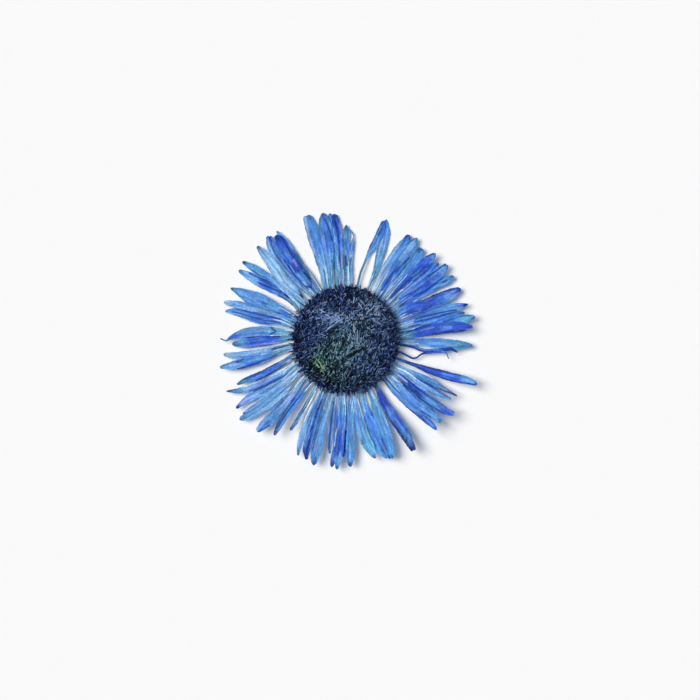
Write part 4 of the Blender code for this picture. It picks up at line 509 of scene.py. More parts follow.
# ---------------------------------------------------------------- building blocks
def piece(name, verts, faces, paint, grain, mat, nodes, smooth=True, edge_faces=0):
    mesh = bpy.data.meshes.new(name)
    mesh.from_pydata(np.asarray(verts).tolist(), [], faces)
    mesh.polygons.foreach_set("use_smooth", [smooth] * (len(mesh.polygons) - edge_faces) + [False] * edge_faces)
    rgba = np.ones((len(verts), 4), np.float32)
    rgba[:, :3] = np.clip(paint, 0.0, 1.0)
    mesh.attributes.new("paint", "FLOAT_COLOR", "POINT").data.foreach_set("color", rgba.ravel())
    mesh.attributes.new("grain", "FLOAT_VECTOR", "POINT").data.foreach_set("vector", np.asarray(grain, np.float32).ravel())
    mesh.materials.append(mat)
    mesh.update()
    ob = bpy.data.objects.new(name, mesh)
    bpy.context.scene.collection.objects.link(ob)
    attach(ob, "root")
    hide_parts(*nodes)
    return ob


def flat_xy(gx, gy):
    """Grid position to metres on the resting plane."""
    return (gx - ORIGIN_X) * GRID, (ORIGIN_Y - gy) * GRID


CENTRE_X, CENTRE_Y = flat_xy(DISC_X, DISC_Y)


def rest_height(x, y):
    dx, dy = x - CENTRE_X, y - CENTRE_Y
    t = np.clip((np.hypot(dx, dy) - DISC_R) / (TIP_R - DISC_R), 0.0, 1.0)
    t = t * t * (3.0 - 2.0 * t)
    tip = TIP_MEAN + TIP_SWING * np.cos(np.arctan2(dy, dx) - TIP_HIGH_AT)
    return RAY_Z + (tip - RAY_Z) * t


class Curve:
    """A smooth curve through knots (x, y, width), read at any distance from its start, straight on past its ends."""

    def __init__(self, knots):
        self.k = np.array(knots, float)
        n = len(self.k)
        self.at = np.concatenate([[0.0], np.cumsum(np.hypot(*np.diff(self.k[:, :2], axis=0).T))])
        lo, hi = np.maximum(np.arange(n) - 1, 0), np.minimum(np.arange(n) + 1, n - 1)
        self.slopes = (self.k[hi] - self.k[lo]) / (self.at[hi] - self.at[lo])[:, None]

    def __call__(self, d):
        q = np.clip(d, 0.0, self.at[-1])
        i = np.clip(np.searchsorted(self.at, q, side="right") - 1, 0, len(self.at) - 2)
        h = (self.at[i + 1] - self.at[i])[..., None]
        u = (q - self.at[i])[..., None] / h
        out = ((2 * u**3 - 3 * u**2 + 1) * self.k[i] + (u**3 - 2 * u**2 + u) * h * self.slopes[i]
               + (-2 * u**3 + 3 * u**2) * self.k[i + 1] + (u**3 - u**2) * h * self.slopes[i + 1])
        past = (d - q)[..., None] * np.where((d > q)[..., None], self.slopes[-1], self.slopes[0])
        past[..., 2] = 0.0
        return out + past


def eased(table, s):
    """A value from a table of readings, with its corners rounded over a few px."""
    at, values = list(table), list(table.values())
    return sum(w * np.interp(s + d, at, values) for d, w in ((-4, .1), (-2, .22), (0, .36), (2, .22), (4, .1)))


def near_line(s, y, line):
    """Distance of each point (s, y) from a line through the given points."""
    best = np.full(s.shape, 1e9)
    for (s0, y0), (s1, y1) in zip(line, line[1:]):
        ds, dy = s1 - s0, y1 - y0
        t = np.clip(((s - s0) * ds + (y - y0) * dy) / max(ds * ds + dy * dy, 1e-9), 0.0, 1.0)
        best = np.minimum(best, np.hypot(s - s0 - t * ds, y - y0 - t * dy))
    return best


def read_stops(text):
    words = text.split()
    return [float(w) for w in words[0::2]], np.array([TONE[w] for w in words[1::2]])


# ---------------------------------------------------------------- rays
ROWS, COLS = 92, 21
WIDER = {"30": 1.06, "58": 1.02, "59": 1.08, "01": 1.12, "02": 1.04, "57": 1.04, "32": 1.02, "45": 1.08}     # rays that a neighbour half hides
TIP_LIFT = {"07": -.2, "11": .1, "12": .3, "13": .3, "14": .2, "15": -.15, "16": -.1, "18": .1, "19": .25, "20": .4, "23": .6, "24": .1, "25": .2, "26": 1.0,
            "27": 1.0, "28": 1.2, "29": .7, "30": .15, "40": .5, "41": .65, "42": .5, "47": .3}     # tips that stand higher off the sheet, in mm
COL_V = np.linspace(-1.0, 1.0, COLS)
COL_V = 0.6 * COL_V + 0.4 * np.sin(0.5 * math.pi * COL_V)
ROW_T = 1.0 - (1.0 - np.linspace(0.0, 1.0, ROWS)) ** 1.12


def petal(name, node, index, layer, marks, rise, look, fit):
    rng = np.random.RandomState(700 + index)
    body, strokes = look
    number = node[4:6]
    free = number in FREE_RAYS
    first = marks[0]
    away = math.hypot(first[0] - DISC_X, first[1] - DISC_Y)
    root = (RECEPT_R - 0.01 * MM) / GRID / away
    curve = Curve([(DISC_X + (first[0] - DISC_X) * root, DISC_Y + (first[1] - DISC_Y) * root, min(first[2], 2.4))] + list(marks))
    lead = away * (1.0 - root)              # from the receptacle to the disc's rim
    length = curve.at[-1] - lead            # from the rim to the tip

    def width(s):
        w = eased(fit[1], s) if fit else curve(s + lead)[..., 2]
        return np.maximum(w * (1.42 - 0.12 * np.clip((s - 4.0) / 16.0, 0.0, 1.0)) * WIDER.get(node[4:], 1.0) * (0.92 if number == "22" else 1.0), 1.05)

    # the outline: rounded or notched at the tip, a little uneven along both margins
    rounding, notch, notch_v = TIPS.get(node, (1.40, 0.0, 0.0))
    tip_half = 0.5 * float(width(np.array([length]))[0])
    end = length + 0.85 - rounding * tip_half * (0.25 * np.abs(COL_V) + 0.75 - 0.75 * np.sqrt(1.0 - (0.985 * COL_V) ** 2))
    end = end - notch * np.exp(-((COL_V - notch_v) / 0.24) ** 2)
    s = -lead + (end[None, :] + lead) * ROW_T[:, None]
    v = np.broadcast_to(COL_V, s.shape)
    p = rng.uniform(0, 2 * math.pi, 12)
    waver = [0.035 * np.sin(0.28 * s + p[k]) + 0.028 * np.sin(0.71 * s + p[k + 1]) + 0.02 * np.sin(1.45 * s + p[k + 2]) for k in (0, 3)]
    half = 0.5 * width(s) * (1.0 + waver[0] * (0.5 + 0.5 * v) + waver[1] * (0.5 - 0.5 * v))
    mid = curve(s + lead)
    way = curve(s + lead + 1.0) - curve(s + lead - 1.0)
    way = way[..., :2] / np.linalg.norm(way[..., :2], axis=-1, keepdims=True)
    left = np.stack([way[..., 1], -way[..., 0]], -1)
    aside = half * v + (eased(fit[0], s) if fit else 0.0)
    x, y = flat_xy(mid[..., 0] + left[..., 0] * aside, mid[..., 1] + left[..., 1] * aside)

    # relief: gutter, pleats, a slow wave, curled margins and tip
    out = np.clip(s / length, 0.0, 1.0)
    broad = np.clip(half / 3.6, 0.15, 1.2)
    grow = np.clip((s + 4.0) / 16.0, 0.0, 1.0)
    z = rest_height(x, y) + (0.03 * MM + layer * 0.7 * LAYER) + rise + 0.025 * MM * math.sin(2.4 * index)
    z = z - CAMBER * (1.0 - v * v) * broad + 0.022 * MM * v * broad
    z = z + 0.017 * MM * broad * grow * np.cos(math.tau * (1.3 * v + 0.08 * np.sin(0.12 * s + p[6])) + p[7])
    z = z + (0.060 if free else 0.018) * MM * grow * np.sin(math.tau * s / rng.uniform(34, 52) + p[8])
    z = z + 0.010 * MM * grow * np.sin(math.tau * s / rng.uniform(9, 14) + p[9] + 2.0 * v)
    z = z + TIP_LIFT.get(number, 0.0) * MM * out ** 2.2
    rim = np.clip((np.abs(v) - 0.55) / 0.45, 0.0, 1.0) ** 2
    z = z + 0.022 * MM * broad * rim * np.sin(0.11 * s + p[10] + 1.3 * np.sign(v)) * grow
    z = z + (rng.uniform(-0.10, 0.16) if free else rng.uniform(-0.02, 0.05)) * MM * np.clip((out - 0.8) / 0.2, 0, 1) ** 2
    thick = (0.050 - 0.034 * v * v) * MM * (1.0 - 0.5 * np.clip((out - 0.9) / 0.1, 0, 1))
    top = np.stack([x, y, z + thick / 2], -1)
    low = np.stack([x, y, z - thick / 2], -1)

    # dye and painted light: the middle tone along the ray, then painted shade on the claws, darker veins, claw lines,
    # margins with painted shade and painted light, then this ray's own marks
    yy = half * v
    stops, tones = read_stops(body)
    paint = np.stack([np.interp(s, stops, tones[:, c]) for c in range(3)], -1)

    def stroke(tone, strength, wide, line):
        nonlocal paint
        reach = np.array([a for a, _ in line], float)
        halves = 0.5 * width(reach)
        pts = [(a, b * float(h)) for (a, b), h in zip(line, halves)]
        d = near_line(s, yy, pts)
        a = (strength * np.exp(-1.1 * (d / wide) ** 3))[..., None]
        paint = paint * (1.0 - a) + TONE[tone] * a

    near = np.clip((15.0 - s) / 9.0, 0.0, 1.0)[..., None]      # painted shade on the claws next to the disc: darker and less red
    paint = paint * (1.0 - near * (0.34, 0.18, 0.07))

    for k in range(8):      # veins, broken into short lengths
        v0, s0 = rng.uniform(-0.8, 0.8), rng.uniform(4, length - 16)
        stroke(("slate", "royal", "navy", "navy")[k % 4], rng.uniform(0.22, 0.50), rng.uniform(0.35, 0.6),
               [(s0, v0), (s0 + rng.uniform(5, 11), v0 + rng.uniform(-0.12, 0.12)), (s0 + rng.uniform(12, 24), v0 + rng.uniform(-0.2, 0.2))])
    plain = number in ("22", "23", "29")     # dark right down to the disc
    for k in range(0 if plain else 7):      # paler ridges between them
        v0, s0 = rng.uniform(-0.8, 0.8), rng.uniform(8, length - 12)
        stroke(("sky", "pale", "mist", "aqua")[k % 4], rng.uniform(0.28, 0.60), rng.uniform(0.35, 0.6), [(s0, v0), (s0 + rng.uniform(5, 14), v0 + rng.uniform(-0.15, 0.15))])
    for k in range(0 if plain else 6):
        v0 = rng.uniform(-0.85, 0.85)
        stroke(("pale", "dteal", "mist", "teal", "white", "cyan")[k], rng.uniform(0.40, 0.80), 0.5, [(-6, v0), (rng.uniform(6, 22), v0 * 0.8)])
    for side in (-1, 1):    # pale margins near the disc: partly the undyed bases, partly painted light for the bright slits between the rays
        if rng.uniform() < 0.75 and not plain:
            stroke("white", rng.uniform(0.5, 0.95), 0.55, [(-2, side * 0.92), (rng.uniform(8, 34), side * 0.96)])
    # thin dark margins on both sides: painted shade of the curled edges
    for side in (-1, 1):
        stroke("slate", 0.14, 0.5, [(0, side), (length * 0.55, side), (length - 3, side * 0.95)])
    stroke("slate", 0.35, 0.8, [(length - 0.2, -0.6), (length, 0.6)])
    for tone, strength, wide, *at in strokes:
        if tone in ("navy", "ink", "dteal"):
            strength = min(1.25 * strength, 0.97)
        stroke(tone, strength, wide, [(at[k], at[k + 1]) for k in range(0, len(at), 2)])
    paint = np.minimum(paint * (1.0 + 0.05 * np.clip((s - 42.0) / 20.0, 0.0, 1.0)[..., None]), 0.95)     # the blades are thinner outside
    under = paint * 0.72 + 0.28 * TONE["pale"]
    grain = np.stack([s * GRID / MM, yy * GRID / MM, np.full(s.shape, 1.7 * index)], -1)

    n = ROWS * COLS
    faces = []
    at = lambda i, j: i * COLS + j
    for i in range(ROWS - 1):
        for j in range(COLS - 1):
            quad = (at(i, j), at(i + 1, j), at(i + 1, j + 1), at(i, j + 1))
            faces.append(quad)
            faces.append(tuple(q + n for q in reversed(quad)))
    loop = ([at(i, 0) for i in range(ROWS)] + [at(ROWS - 1, j) for j in range(1, COLS)]
            + [at(i, COLS - 1) for i in range(ROWS - 2, -1, -1)] + [at(0, j) for j in range(COLS - 2, 0, -1)])
    for a, b in zip(loop, loop[1:] + loop[:1]):
        faces.append((a + n, b + n, b, a))
    slot = "ray_sky" if number in SKY_RAYS else "ray_violet" if number in VIOLET_RAYS else "ray_royal"
    return piece(name, np.concatenate([top.reshape(-1, 3), low.reshape(-1, 3)]), faces,
                 np.concatenate([paint.reshape(-1, 3), under.reshape(-1, 3)]),
                 np.concatenate([grain.reshape(-1, 3)] * 2), TISSUE[slot], [node], edge_faces=len(loop))


TISSUE = {
    "ray_sky": tissue("ray_sky", 0.24, False, 0.62),
    "ray_royal": tissue("ray_royal", 0.28, False, 0.60),
    "ray_violet": tissue("ray_violet", 0.30, True, 0.58),
}
count = 0
for node, (layer, *straps) in RAYS.items():
    for k, marks in enumerate(straps):
        label = "petal_" + node[4:] + ("" if len(straps) == 1 else "ab"[k])
        petal(label, node, count, layer, marks, -0.045 * MM * k, LOOKS[node][k], FIT.get(node) if k == 0 else None)
        count += 1


# ---------------------------------------------------------------- disc
def fuzz_material(name, rough, spread):
    """Dyed florets and pappus: each strand's own tone, with fine bands and a dull surface."""
    g = Graph(name)
    grain = g.attribute("grain", "Vector")
    bands = g.noise(g.stretch(grain, (9.0, 2.0, 4.0)), 1.0, 2.0, 0.6)
    spots = g.noise(g.stretch(grain, (26.0, 7.0, 9.0)), 1.0, 1.0, 0.5)
    col = g.shade(g.attribute("paint", "Color"), g.span(bands, 0.32, 0.68, 1.0 - spread, 1.0 + spread))
    col = g.shade(col, g.span(spots, 0.3, 0.7, 0.86, 1.14))
    g.put(g.shader.inputs["Base Color"], col)
    g.put(g.shader.inputs["Roughness"], g.span(bands, 0.3, 0.7, rough - 0.07, rough + 0.09))
    g.shader.inputs["Specular IOR Level"].default_value = 0.10
    g.bump(g.math("ADD", bands, g.math("MULTIPLY", spots, 0.5)), 0.00001, 0.5)
    return g.mat


# How the dye lies on the disc: middle (grid x, y), reach in px, tone, how far the strands differ, and the way they are
# combed in degrees from +X.
DISC_TONES = [
    (332, 318, 8, (118, 142, 186), .62, 34), (340, 323, 6, (142, 166, 198), .55, 30), (350, 320, 5, (122, 146, 170), .60, 50), (321, 330, 8, (58, 76, 112), .5, 36), (331, 338, 6, (22, 42, 48), .5, 60), (348, 337, 5, (44, 66, 80), .6, 70),
    (308, 335, 16, (44, 58, 92), .50, 42), (301, 352, 13, (36, 46, 78), .45, 48), (333, 294, 14, (34, 42, 84), .45, 62),
    (321, 308, 8, (98, 112, 152), .62, 46), (314, 299, 9, (40, 46, 84), .45, 56), (342, 345, 14, (76, 103, 112), .6, 60), (318, 363, 7, (58, 90, 76), .85, 110), (356, 352, 6, (104, 124, 146), .62, 58), (353, 376, 7, (20, 36, 54), .6, 60),
    (326, 352, 10, (44, 76, 68), .55, 55), (333, 373, 9, (48, 74, 72), .70, 52), (330, 386, 9, (18, 34, 50), .5, 52), (385, 345, 15, (54, 70, 106), .62, 62),
    (345, 386, 15, (24, 42, 56), .55, 55), (370, 311, 9, (120, 144, 174), .85, 48), (366, 299, 6, (24, 38, 60), .60, 56), (381, 319, 7, (54, 72, 104), .74, 50),
    (357, 337, 6, (128, 154, 178), .64, 88), (362, 325, 8, (8, 26, 38), .62, 58), (363, 326, 8, (8, 26, 38), .60, 58), (372, 372, 14, (44, 62, 88), .52, 64),
    (360, 365, 9, (58, 76, 104), .55, 62), (352, 300, 12, (44, 58, 84), .50, 66), (350, 312, 10, (46, 60, 94), .50, 50),
    (392, 365, 10, (52, 60, 106), .55, 50), (390, 322, 10, (66, 80, 114), .6, 40), (312, 380, 14, (12, 26, 40), .7, 55), (311, 372, 8, (14, 30, 38), .7, 55),
]


def disc_tone(gx, gy):
    """Tone, spread and comb angle of the dye at points of the disc."""
    total = np.full(gx.shape, 0.10)
    tone = total[..., None] * linear((44, 60, 86))
    spread, angle = total * 0.5, total * 55.0
    for x, y, reach, rgb, vary, comb in DISC_TONES:
        w = np.exp(-((gx - x) ** 2 + (gy - y) ** 2) / (1.1 * reach) ** 2)
        total = total + w
        tone = tone + w[..., None] * linear(rgb)
        spread, angle = spread + w * vary, angle + w * comb
    tone = tone / total[..., None]
    r = np.hypot(gx - DISC_X, gy - DISC_Y) / DISC_PX
    edge = np.clip((r - 0.86) / 0.14, 0, 1)[..., None]
    tone = tone * (1 - 0.75 * edge) + linear((38, 60, 116)) * 0.75 * edge
    middle = np.clip((0.52 - r) / 0.25, 0, 1)[..., None]      # the crown of the mat is paler, its border is the darkest
    tone = tone * (1.0 + middle * (0.30, 0.24, 0.16)) * (1.0 - 0.12 * np.clip((r - 0.70) / 0.12, 0, 1))[..., None]
    return tone * (0.98, 1.07, 1.16), spread / total, angle / total


def tufts(gx, gy):
    """How much lighter or darker than its zone the mat is at points of the disc, tuft by tuft."""
    return np.array([math.exp(0.85 * noise.noise(Vector((x / 5.5, y / 5.5, 2.0))) + 0.7 * noise.noise(Vector((x / 12.0, y / 12.0, 7.0)))) for x, y in zip(gx, gy)])


CREASES = (((348.4, 356.5), (364.8, 347.6), 0.95), ((327.0, 332.2), (343.5, 322.8), 0.7))    # from, to, half width in px


def in_crease(gx, gy):
    """Whether the points of the disc lie in one of the creases that the press left in the mat."""
    found = np.zeros(gx.shape, bool)
    for (x0, y0), (x1, y1), half in CREASES:
        dx, dy = x1 - x0, y1 - y0
        t = np.clip(((gx - x0) * dx + (gy - y0) * dy) / (dx * dx + dy * dy), 0.0, 1.0)
        found |= np.hypot(gx - x0 - t * dx, gy - y0 - t * dy) < half * (0.45 + 2.2 * t * (1.0 - t))
    return found


def mat_height(r):
    """Top of the mat at a distance from its middle, in metres."""
    return MAT_TOP - MAT_DROP * np.clip(r / (0.96 * DISC_R), 0, 1) ** 2.2


def disc_bed():
    """The bed that the florets stand in: a low dome, bumpy above, closed below. Its near-black, bluish tone is painted
    shade for the gaps between the strands.
    """
    rings, around = 84, 220
    verts, paint, grain, faces = [], [], [], []
    profile = [(0.952 * DISC_R * (k / rings) ** 0.9, None) for k in range(1, rings + 1)]
    profile += [(f * DISC_R, MAT_Z0 + up * MM) for f, up in ((0.975, 0.32), (0.980, 0.22), (0.965, 0.10), (0.93, 0.03))]
    verts.append((CENTRE_X, CENTRE_Y, MAT_TOP - 0.16 * MM))
    for r, z in profile:
        for k in range(around):
            a = math.tau * k / around
            x, y = r * math.cos(a), r * math.sin(a)
            n = noise.noise(Vector((x / MM * 3.1, y / MM * 3.1, 4.0))) * 0.65 + noise.noise(Vector((x / MM * 7.3, y / MM * 7.3, 9.0))) * 0.35
            if z is None:
                h, rr = mat_height(r) - 0.15 * MM + 0.10 * MM * n, r
            else:
                h, rr = z + 0.03 * MM * n, r * (1.0 + 0.018 * math.sin(a * 37 + 3 * math.sin(a * 5)) + 0.012 * n)
            verts.append((CENTRE_X + rr * math.cos(a), CENTRE_Y + rr * math.sin(a), h))
    base = len(verts)
    verts.append((CENTRE_X, CENTRE_Y, MAT_Z0 + 0.02 * MM))
    for k in range(around):
        faces.append((0, 1 + k, 1 + (k + 1) % around))
        last = 1 + (len(profile) - 1) * around
        faces.append((base, last + (k + 1) % around, last + k))
    for i in range(len(profile) - 1):
        for k in range(around):
            a, b = 1 + i * around + k, 1 + i * around + (k + 1) % around
            faces.append((a, a + around, b + around, b))
    co = np.array(verts)
    gx, gy = co[:, 0] / GRID + ORIGIN_X, ORIGIN_Y - co[:, 1] / GRID
    tone, _, _ = disc_tone(gx, gy)
    # near-black and bluish: painted shade
    return piece("disc_bed", co, faces, tone * (0.055, 0.098, 0.135), np.stack([co[:, 0] / MM, co[:, 1] / MM, co[:, 2] / MM], -1), FUZZ["bed"],
                 ["disc_florets"])


def strands(name, foot, tip, wide, bow, tone_low, tone_high, mat, seed, sides=3, nodes=("disc_florets",)):
    """Tapered hairs from foot to tip, each bent by its bow, all in one mesh."""
    n = len(foot)
    way = tip - foot
    length = np.linalg.norm(way, axis=1, keepdims=True)
    way = way / length
    up = np.tile(np.array([0.0, 0.0, 1.0]), (n, 1))
    side = np.cross(way, up)
    side = side / np.maximum(np.linalg.norm(side, axis=1, keepdims=True), 1e-9)
    over = np.cross(side, way)
    stations = ((0.0, 1.0), (0.38, 0.92), (0.74, 0.62), (1.0, 0.12))
    verts, paint, grain = [], [], []
    for t, girth in stations:
        mid = foot + (tip - foot) * t + bow * (4 * t * (1 - t))
        for k in range(sides):
            a = math.tau * k / sides - math.pi / 2      # one flat side up
            verts.append(mid + (math.cos(a) * side + math.sin(a) * over) * (wide * girth)[:, None] * 0.5)
            # from tone_low at the foot to tone_high at the tip; the callers' darker feet are painted shade low among
            # the strands
            paint.append(tone_low * (1 - t) + tone_high * t)
            grain.append(np.stack([t * length[:, 0] / MM, np.full(n, k * 0.5), np.arange(n) * 0.73 + seed], -1))
    per = len(stations) * sides
    co = np.stack(verts, 1).reshape(-1, 3)
    pattern = []
    for i in range(len(stations) - 1):
        for k in range(sides):
            a, b = i * sides + k, i * sides + (k + 1) % sides
            pattern.append((a, b, b + sides, a + sides))
    pattern.append(tuple(range(sides - 1, -1, -1)))
    pattern.append(tuple(range(per - sides, per)))
    faces = [tuple(q + m * per for q in f) for m in range(n) for f in pattern]
    return piece(name, co, faces, np.stack(paint, 1).reshape(-1, 3), np.stack(grain, 1).reshape(-1, 3), mat, list(nodes), smooth=False)


def florets():
    """Tubular disc florets in a spiral, flattened by the press: a slim tube, five lobes and a style, leaning with the comb."""
    rng = np.random.RandomState(41)
    n = 620
    k = np.arange(n) + 0.5
    r = 0.945 * DISC_R * np.sqrt(k / n)
    a = k * math.radians(137.508)
    x = CENTRE_X + r * np.cos(a) + rng.normal(0, 0.035, n) * MM
    y = CENTRE_Y + r * np.sin(a) + rng.normal(0, 0.035, n) * MM
    gx, gy = x / GRID + ORIGIN_X, ORIGIN_Y - y / GRID
    tone, spread, comb = disc_tone(gx, gy)
    lean = np.radians(comb + rng.normal(0, 26, n))
    blend = np.clip((r / DISC_R - 0.70) / 0.25, 0, 1)
    dx = np.cos(lean) * (1 - blend) + np.cos(a) * blend
    dy = np.sin(lean) * (1 - blend) + np.sin(a) * blend
    tilt = np.radians(rng.uniform(34, 66, n))
    flat_len = np.maximum(np.hypot(dx, dy), 1e-6)
    way = np.stack([dx / flat_len * np.sin(tilt), dy / flat_len * np.sin(tilt), np.cos(tilt)], -1)
    side = np.cross(way, [0, 0, 1.0])
    side /= np.linalg.norm(side, axis=1, keepdims=True)
    over = np.cross(side, way)
    tall = rng.uniform(0.30, 0.46, n) * MM
    foot = np.stack([x, y, mat_height(np.hypot(x - CENTRE_X, y - CENTRE_Y)) - 0.20 * MM], -1)
    rings = ((0.0, 0.045), (0.55, 0.055), (0.86, 0.085), (1.0, 0.10))
    # shade holds painted shade and light: darker toward the foot and on the floor of the throat, lighter at the lobe
    # tips and the style's tip
    verts, shade = [], []
    for t, girth in rings:
        for q in range(5):
            b = math.tau * q / 5
            verts.append(foot + way * (tall * t)[:, None] + (math.cos(b) * side + math.sin(b) * over) * girth * MM)
            shade.append(0.55 + 0.35 * t)
    for q in range(5):     # lobe tips, turned out between the corners of the mouth
        b = math.tau * (q + 0.5) / 5
        verts.append(foot + way * (tall * 1.16)[:, None] + (math.cos(b) * side + math.sin(b) * over) * 0.155 * MM)
        shade.append(1.35)
    verts.append(foot + way * (tall * 0.72)[:, None])              # floor of the throat
    shade.append(0.30)
    verts.append(foot + way * (tall * 1.45)[:, None] + side * 0.02 * MM)   # tip of the style
    shade.append(1.5)
    pattern = []
    for i in range(3):
        for q in range(5):
            a0, b0 = i * 5 + q, i * 5 + (q + 1) % 5
            pattern.append((a0, b0, b0 + 5, a0 + 5))
    for q in range(5):
        a0, b0 = 15 + q, 15 + (q + 1) % 5
        pattern += [(a0, b0, 20 + q), (b0, a0, 25)]
    pattern += [(15, 17, 26), (17, 18, 26), (18, 15, 26)]
    pattern.append((4, 3, 2, 1, 0))
    per = 27
    own = np.exp(rng.normal(0, 0.34, n)) * tufts(gx, gy) * 0.64
    # the tubes are tinted bluer, a painted tint of the bluish shade light
    paint = np.stack([tone * (0.88, 1.05, 1.16) * (own * s)[:, None] for s in shade], 1)
    co = np.stack(verts, 1)
    grain = np.stack([np.broadcast_to(np.array([v[0] for v in [(s,) for s in shade]]), (n, per)), np.zeros((n, per)),
                      np.broadcast_to(np.arange(n)[:, None] * 0.61, (n, per))], -1)
    faces = [tuple(q + m * per for q in f) for m in range(n) for f in pattern]
    return piece("disc_florets_tubes", co.reshape(-1, 3), faces, paint.reshape(-1, 3), grain.reshape(-1, 3), FUZZ["tube"],
                 ["disc_florets"], smooth=False)


def pappus(name, count, seed, reach, length, wide, lift, gain, radial=0.80, wander=38.0, clumps=0):
    """Bristles combed over the mat. reach is the range of distances from the middle, as shares of the disc's radius."""
    rng = np.random.RandomState(seed)
    r = DISC_R * np.sqrt(rng.uniform(reach[0] ** 2, reach[1] ** 2, count))
    a = rng.uniform(0, math.tau, count)
    if clumps:                                      # tufts that stand out past the rim, some longer than others
        which = rng.randint(0, clumps, count)
        a = (which + rng.uniform(-0.3, 0.3, clumps)[which]) * math.tau / clumps + rng.normal(0, 0.011, count)
        r = r * rng.uniform(0.975, 1.03, clumps)[which] * (1.006 - 0.022 * np.cos(a - 0.75))
    x, y = CENTRE_X + r * np.cos(a), CENTRE_Y + r * np.sin(a)
    gx, gy = x / GRID + ORIGIN_X, ORIGIN_Y - y / GRID
    tone, spread, comb = disc_tone(gx, gy)
    lean = np.radians(comb + rng.normal(0, wander, count))
    lean = np.where(rng.uniform(0, 1, count) < 0.25, rng.uniform(0, math.tau, count), lean)
    blend = np.clip((r / DISC_R - radial) / (1.0 - radial), 0, 1) ** 1.3
    away = a + rng.normal(0, 0.42, count)
    dx = np.cos(lean) * (1 - blend) + np.cos(away) * blend
    dy = np.sin(lean) * (1 - blend) + np.sin(away) * blend
    size = np.maximum(np.hypot(dx, dy), 1e-6)
    long = rng.uniform(*length, count) * MM
    tilt = np.radians(rng.uniform(64, 86, count))
    way = np.stack([dx / size * np.sin(tilt), dy / size * np.sin(tilt), np.cos(tilt)], -1)
    foot = np.stack([x, y, mat_height(r) + rng.uniform(*lift, count) * MM], -1) - way * (long * 0.35)[:, None]
    tip = foot + way * long[:, None]
    tip_r = np.hypot(tip[:, 0] - CENTRE_X, tip[:, 1] - CENTRE_Y)
    tip[:, 2] = np.minimum(tip[:, 2], mat_height(tip_r) + 0.14 * MM) - 0.22 * MM * np.clip(tip_r / DISC_R - 0.93, 0, 1) / 0.07
    foot_r = np.hypot(foot[:, 0] - CENTRE_X, foot[:, 1] - CENTRE_Y)
    foot[:, 2] = np.clip(foot[:, 2], mat_height(foot_r) - 0.25 * MM, mat_height(foot_r) + 0.04 * MM)
    stay = np.ones(count, bool)
    for part in (0.15, 0.5, 0.85):
        along = foot + (tip - foot) * part
        stay &= ~in_crease(along[:, 0] / GRID + ORIGIN_X, ORIGIN_Y - along[:, 1] / GRID)
    bow = rng.normal(0, 0.016, (count, 3)) * MM
    bow[:, 2] = np.abs(bow[:, 2]) * 0.8
    own = np.clip(np.exp(rng.normal(0, 1, count) * spread * 2.0) * tufts(gx, gy), 0.08, 7.0)
    high = tone * (own * gain)[:, None]
    high = high * (1.0 + np.clip((1.1 - own) / 0.8, 0, 1)[:, None] * np.array((-0.30, 0.06, 0.30)))     # the dark ones get less red and more blue: a painted tint of the bluish shade light
    grey = high.mean(1, keepdims=True)
    bright = np.clip((own - 1.4) / 1.6, 0, 1)[:, None]
    high = high * (1 - 0.55 * bright) + grey * (0.96, 1.04, 1.12) * 0.55 * bright       # the palest bristles are the least dyed
    high = high * np.minimum(1.0, 0.60 / np.maximum(high.max(1, keepdims=True), 1e-6)) ** 0.8
    wide = rng.uniform(*wide, count) * MM
    # feet painted darker and bluer: painted shade low in the mat
    return strands(name, foot[stay], tip[stay], wide[stay], bow[stay], high[stay] * (0.44, 0.56, 0.66), high[stay], FUZZ["hair"], seed)


def dashes(name, seed, rows):
    """Single strands and small tufts that stand out: from (x, y) to (x, y), width in mm, tone, how many, how far spread in px."""
    rng = np.random.RandomState(seed)
    foot, tip, wide, tone = [], [], [], []
    for x0, y0, x1, y1, w, rgb, many, stray in rows:
        for k in range(many):
            j = rng.normal(0, stray, 2) if many > 1 else np.zeros(2)
            e = rng.normal(0, 0.5, 4) if many > 1 else np.zeros(4)
            for end, gx, gy in ((foot, x0 + j[0] + e[0], y0 + j[1] + e[1]), (tip, x1 + j[0] + e[2], y1 + j[1] + e[3])):
                px, py = flat_xy(gx, gy)
                end.append((px, py, float(mat_height(math.hypot(px - CENTRE_X, py - CENTRE_Y))) + (rng.uniform(0.08, 0.16) if many > 1 else 0.18) * MM))
            wide.append(w * MM * rng.uniform(0.85, 1.15))
            tone.append(linear(rgb) * rng.uniform(0.75, 1.25))
    foot, tip, wide, tone = np.array(foot), np.array(tip), np.array(wide), np.array(tone)
    bow = rng.normal(0, 0.03, foot.shape) * MM
    return strands(name, foot, tip, wide, bow, tone * 0.8, tone, FUZZ["hair"], seed)


FUZZ = {"bed": fuzz_material("disc_bed", 0.85, 0.30), "tube": fuzz_material("disc_tube", 0.75, 0.22), "hair": fuzz_material("pappus", 0.70, 0.16)}
disc_bed()
florets()
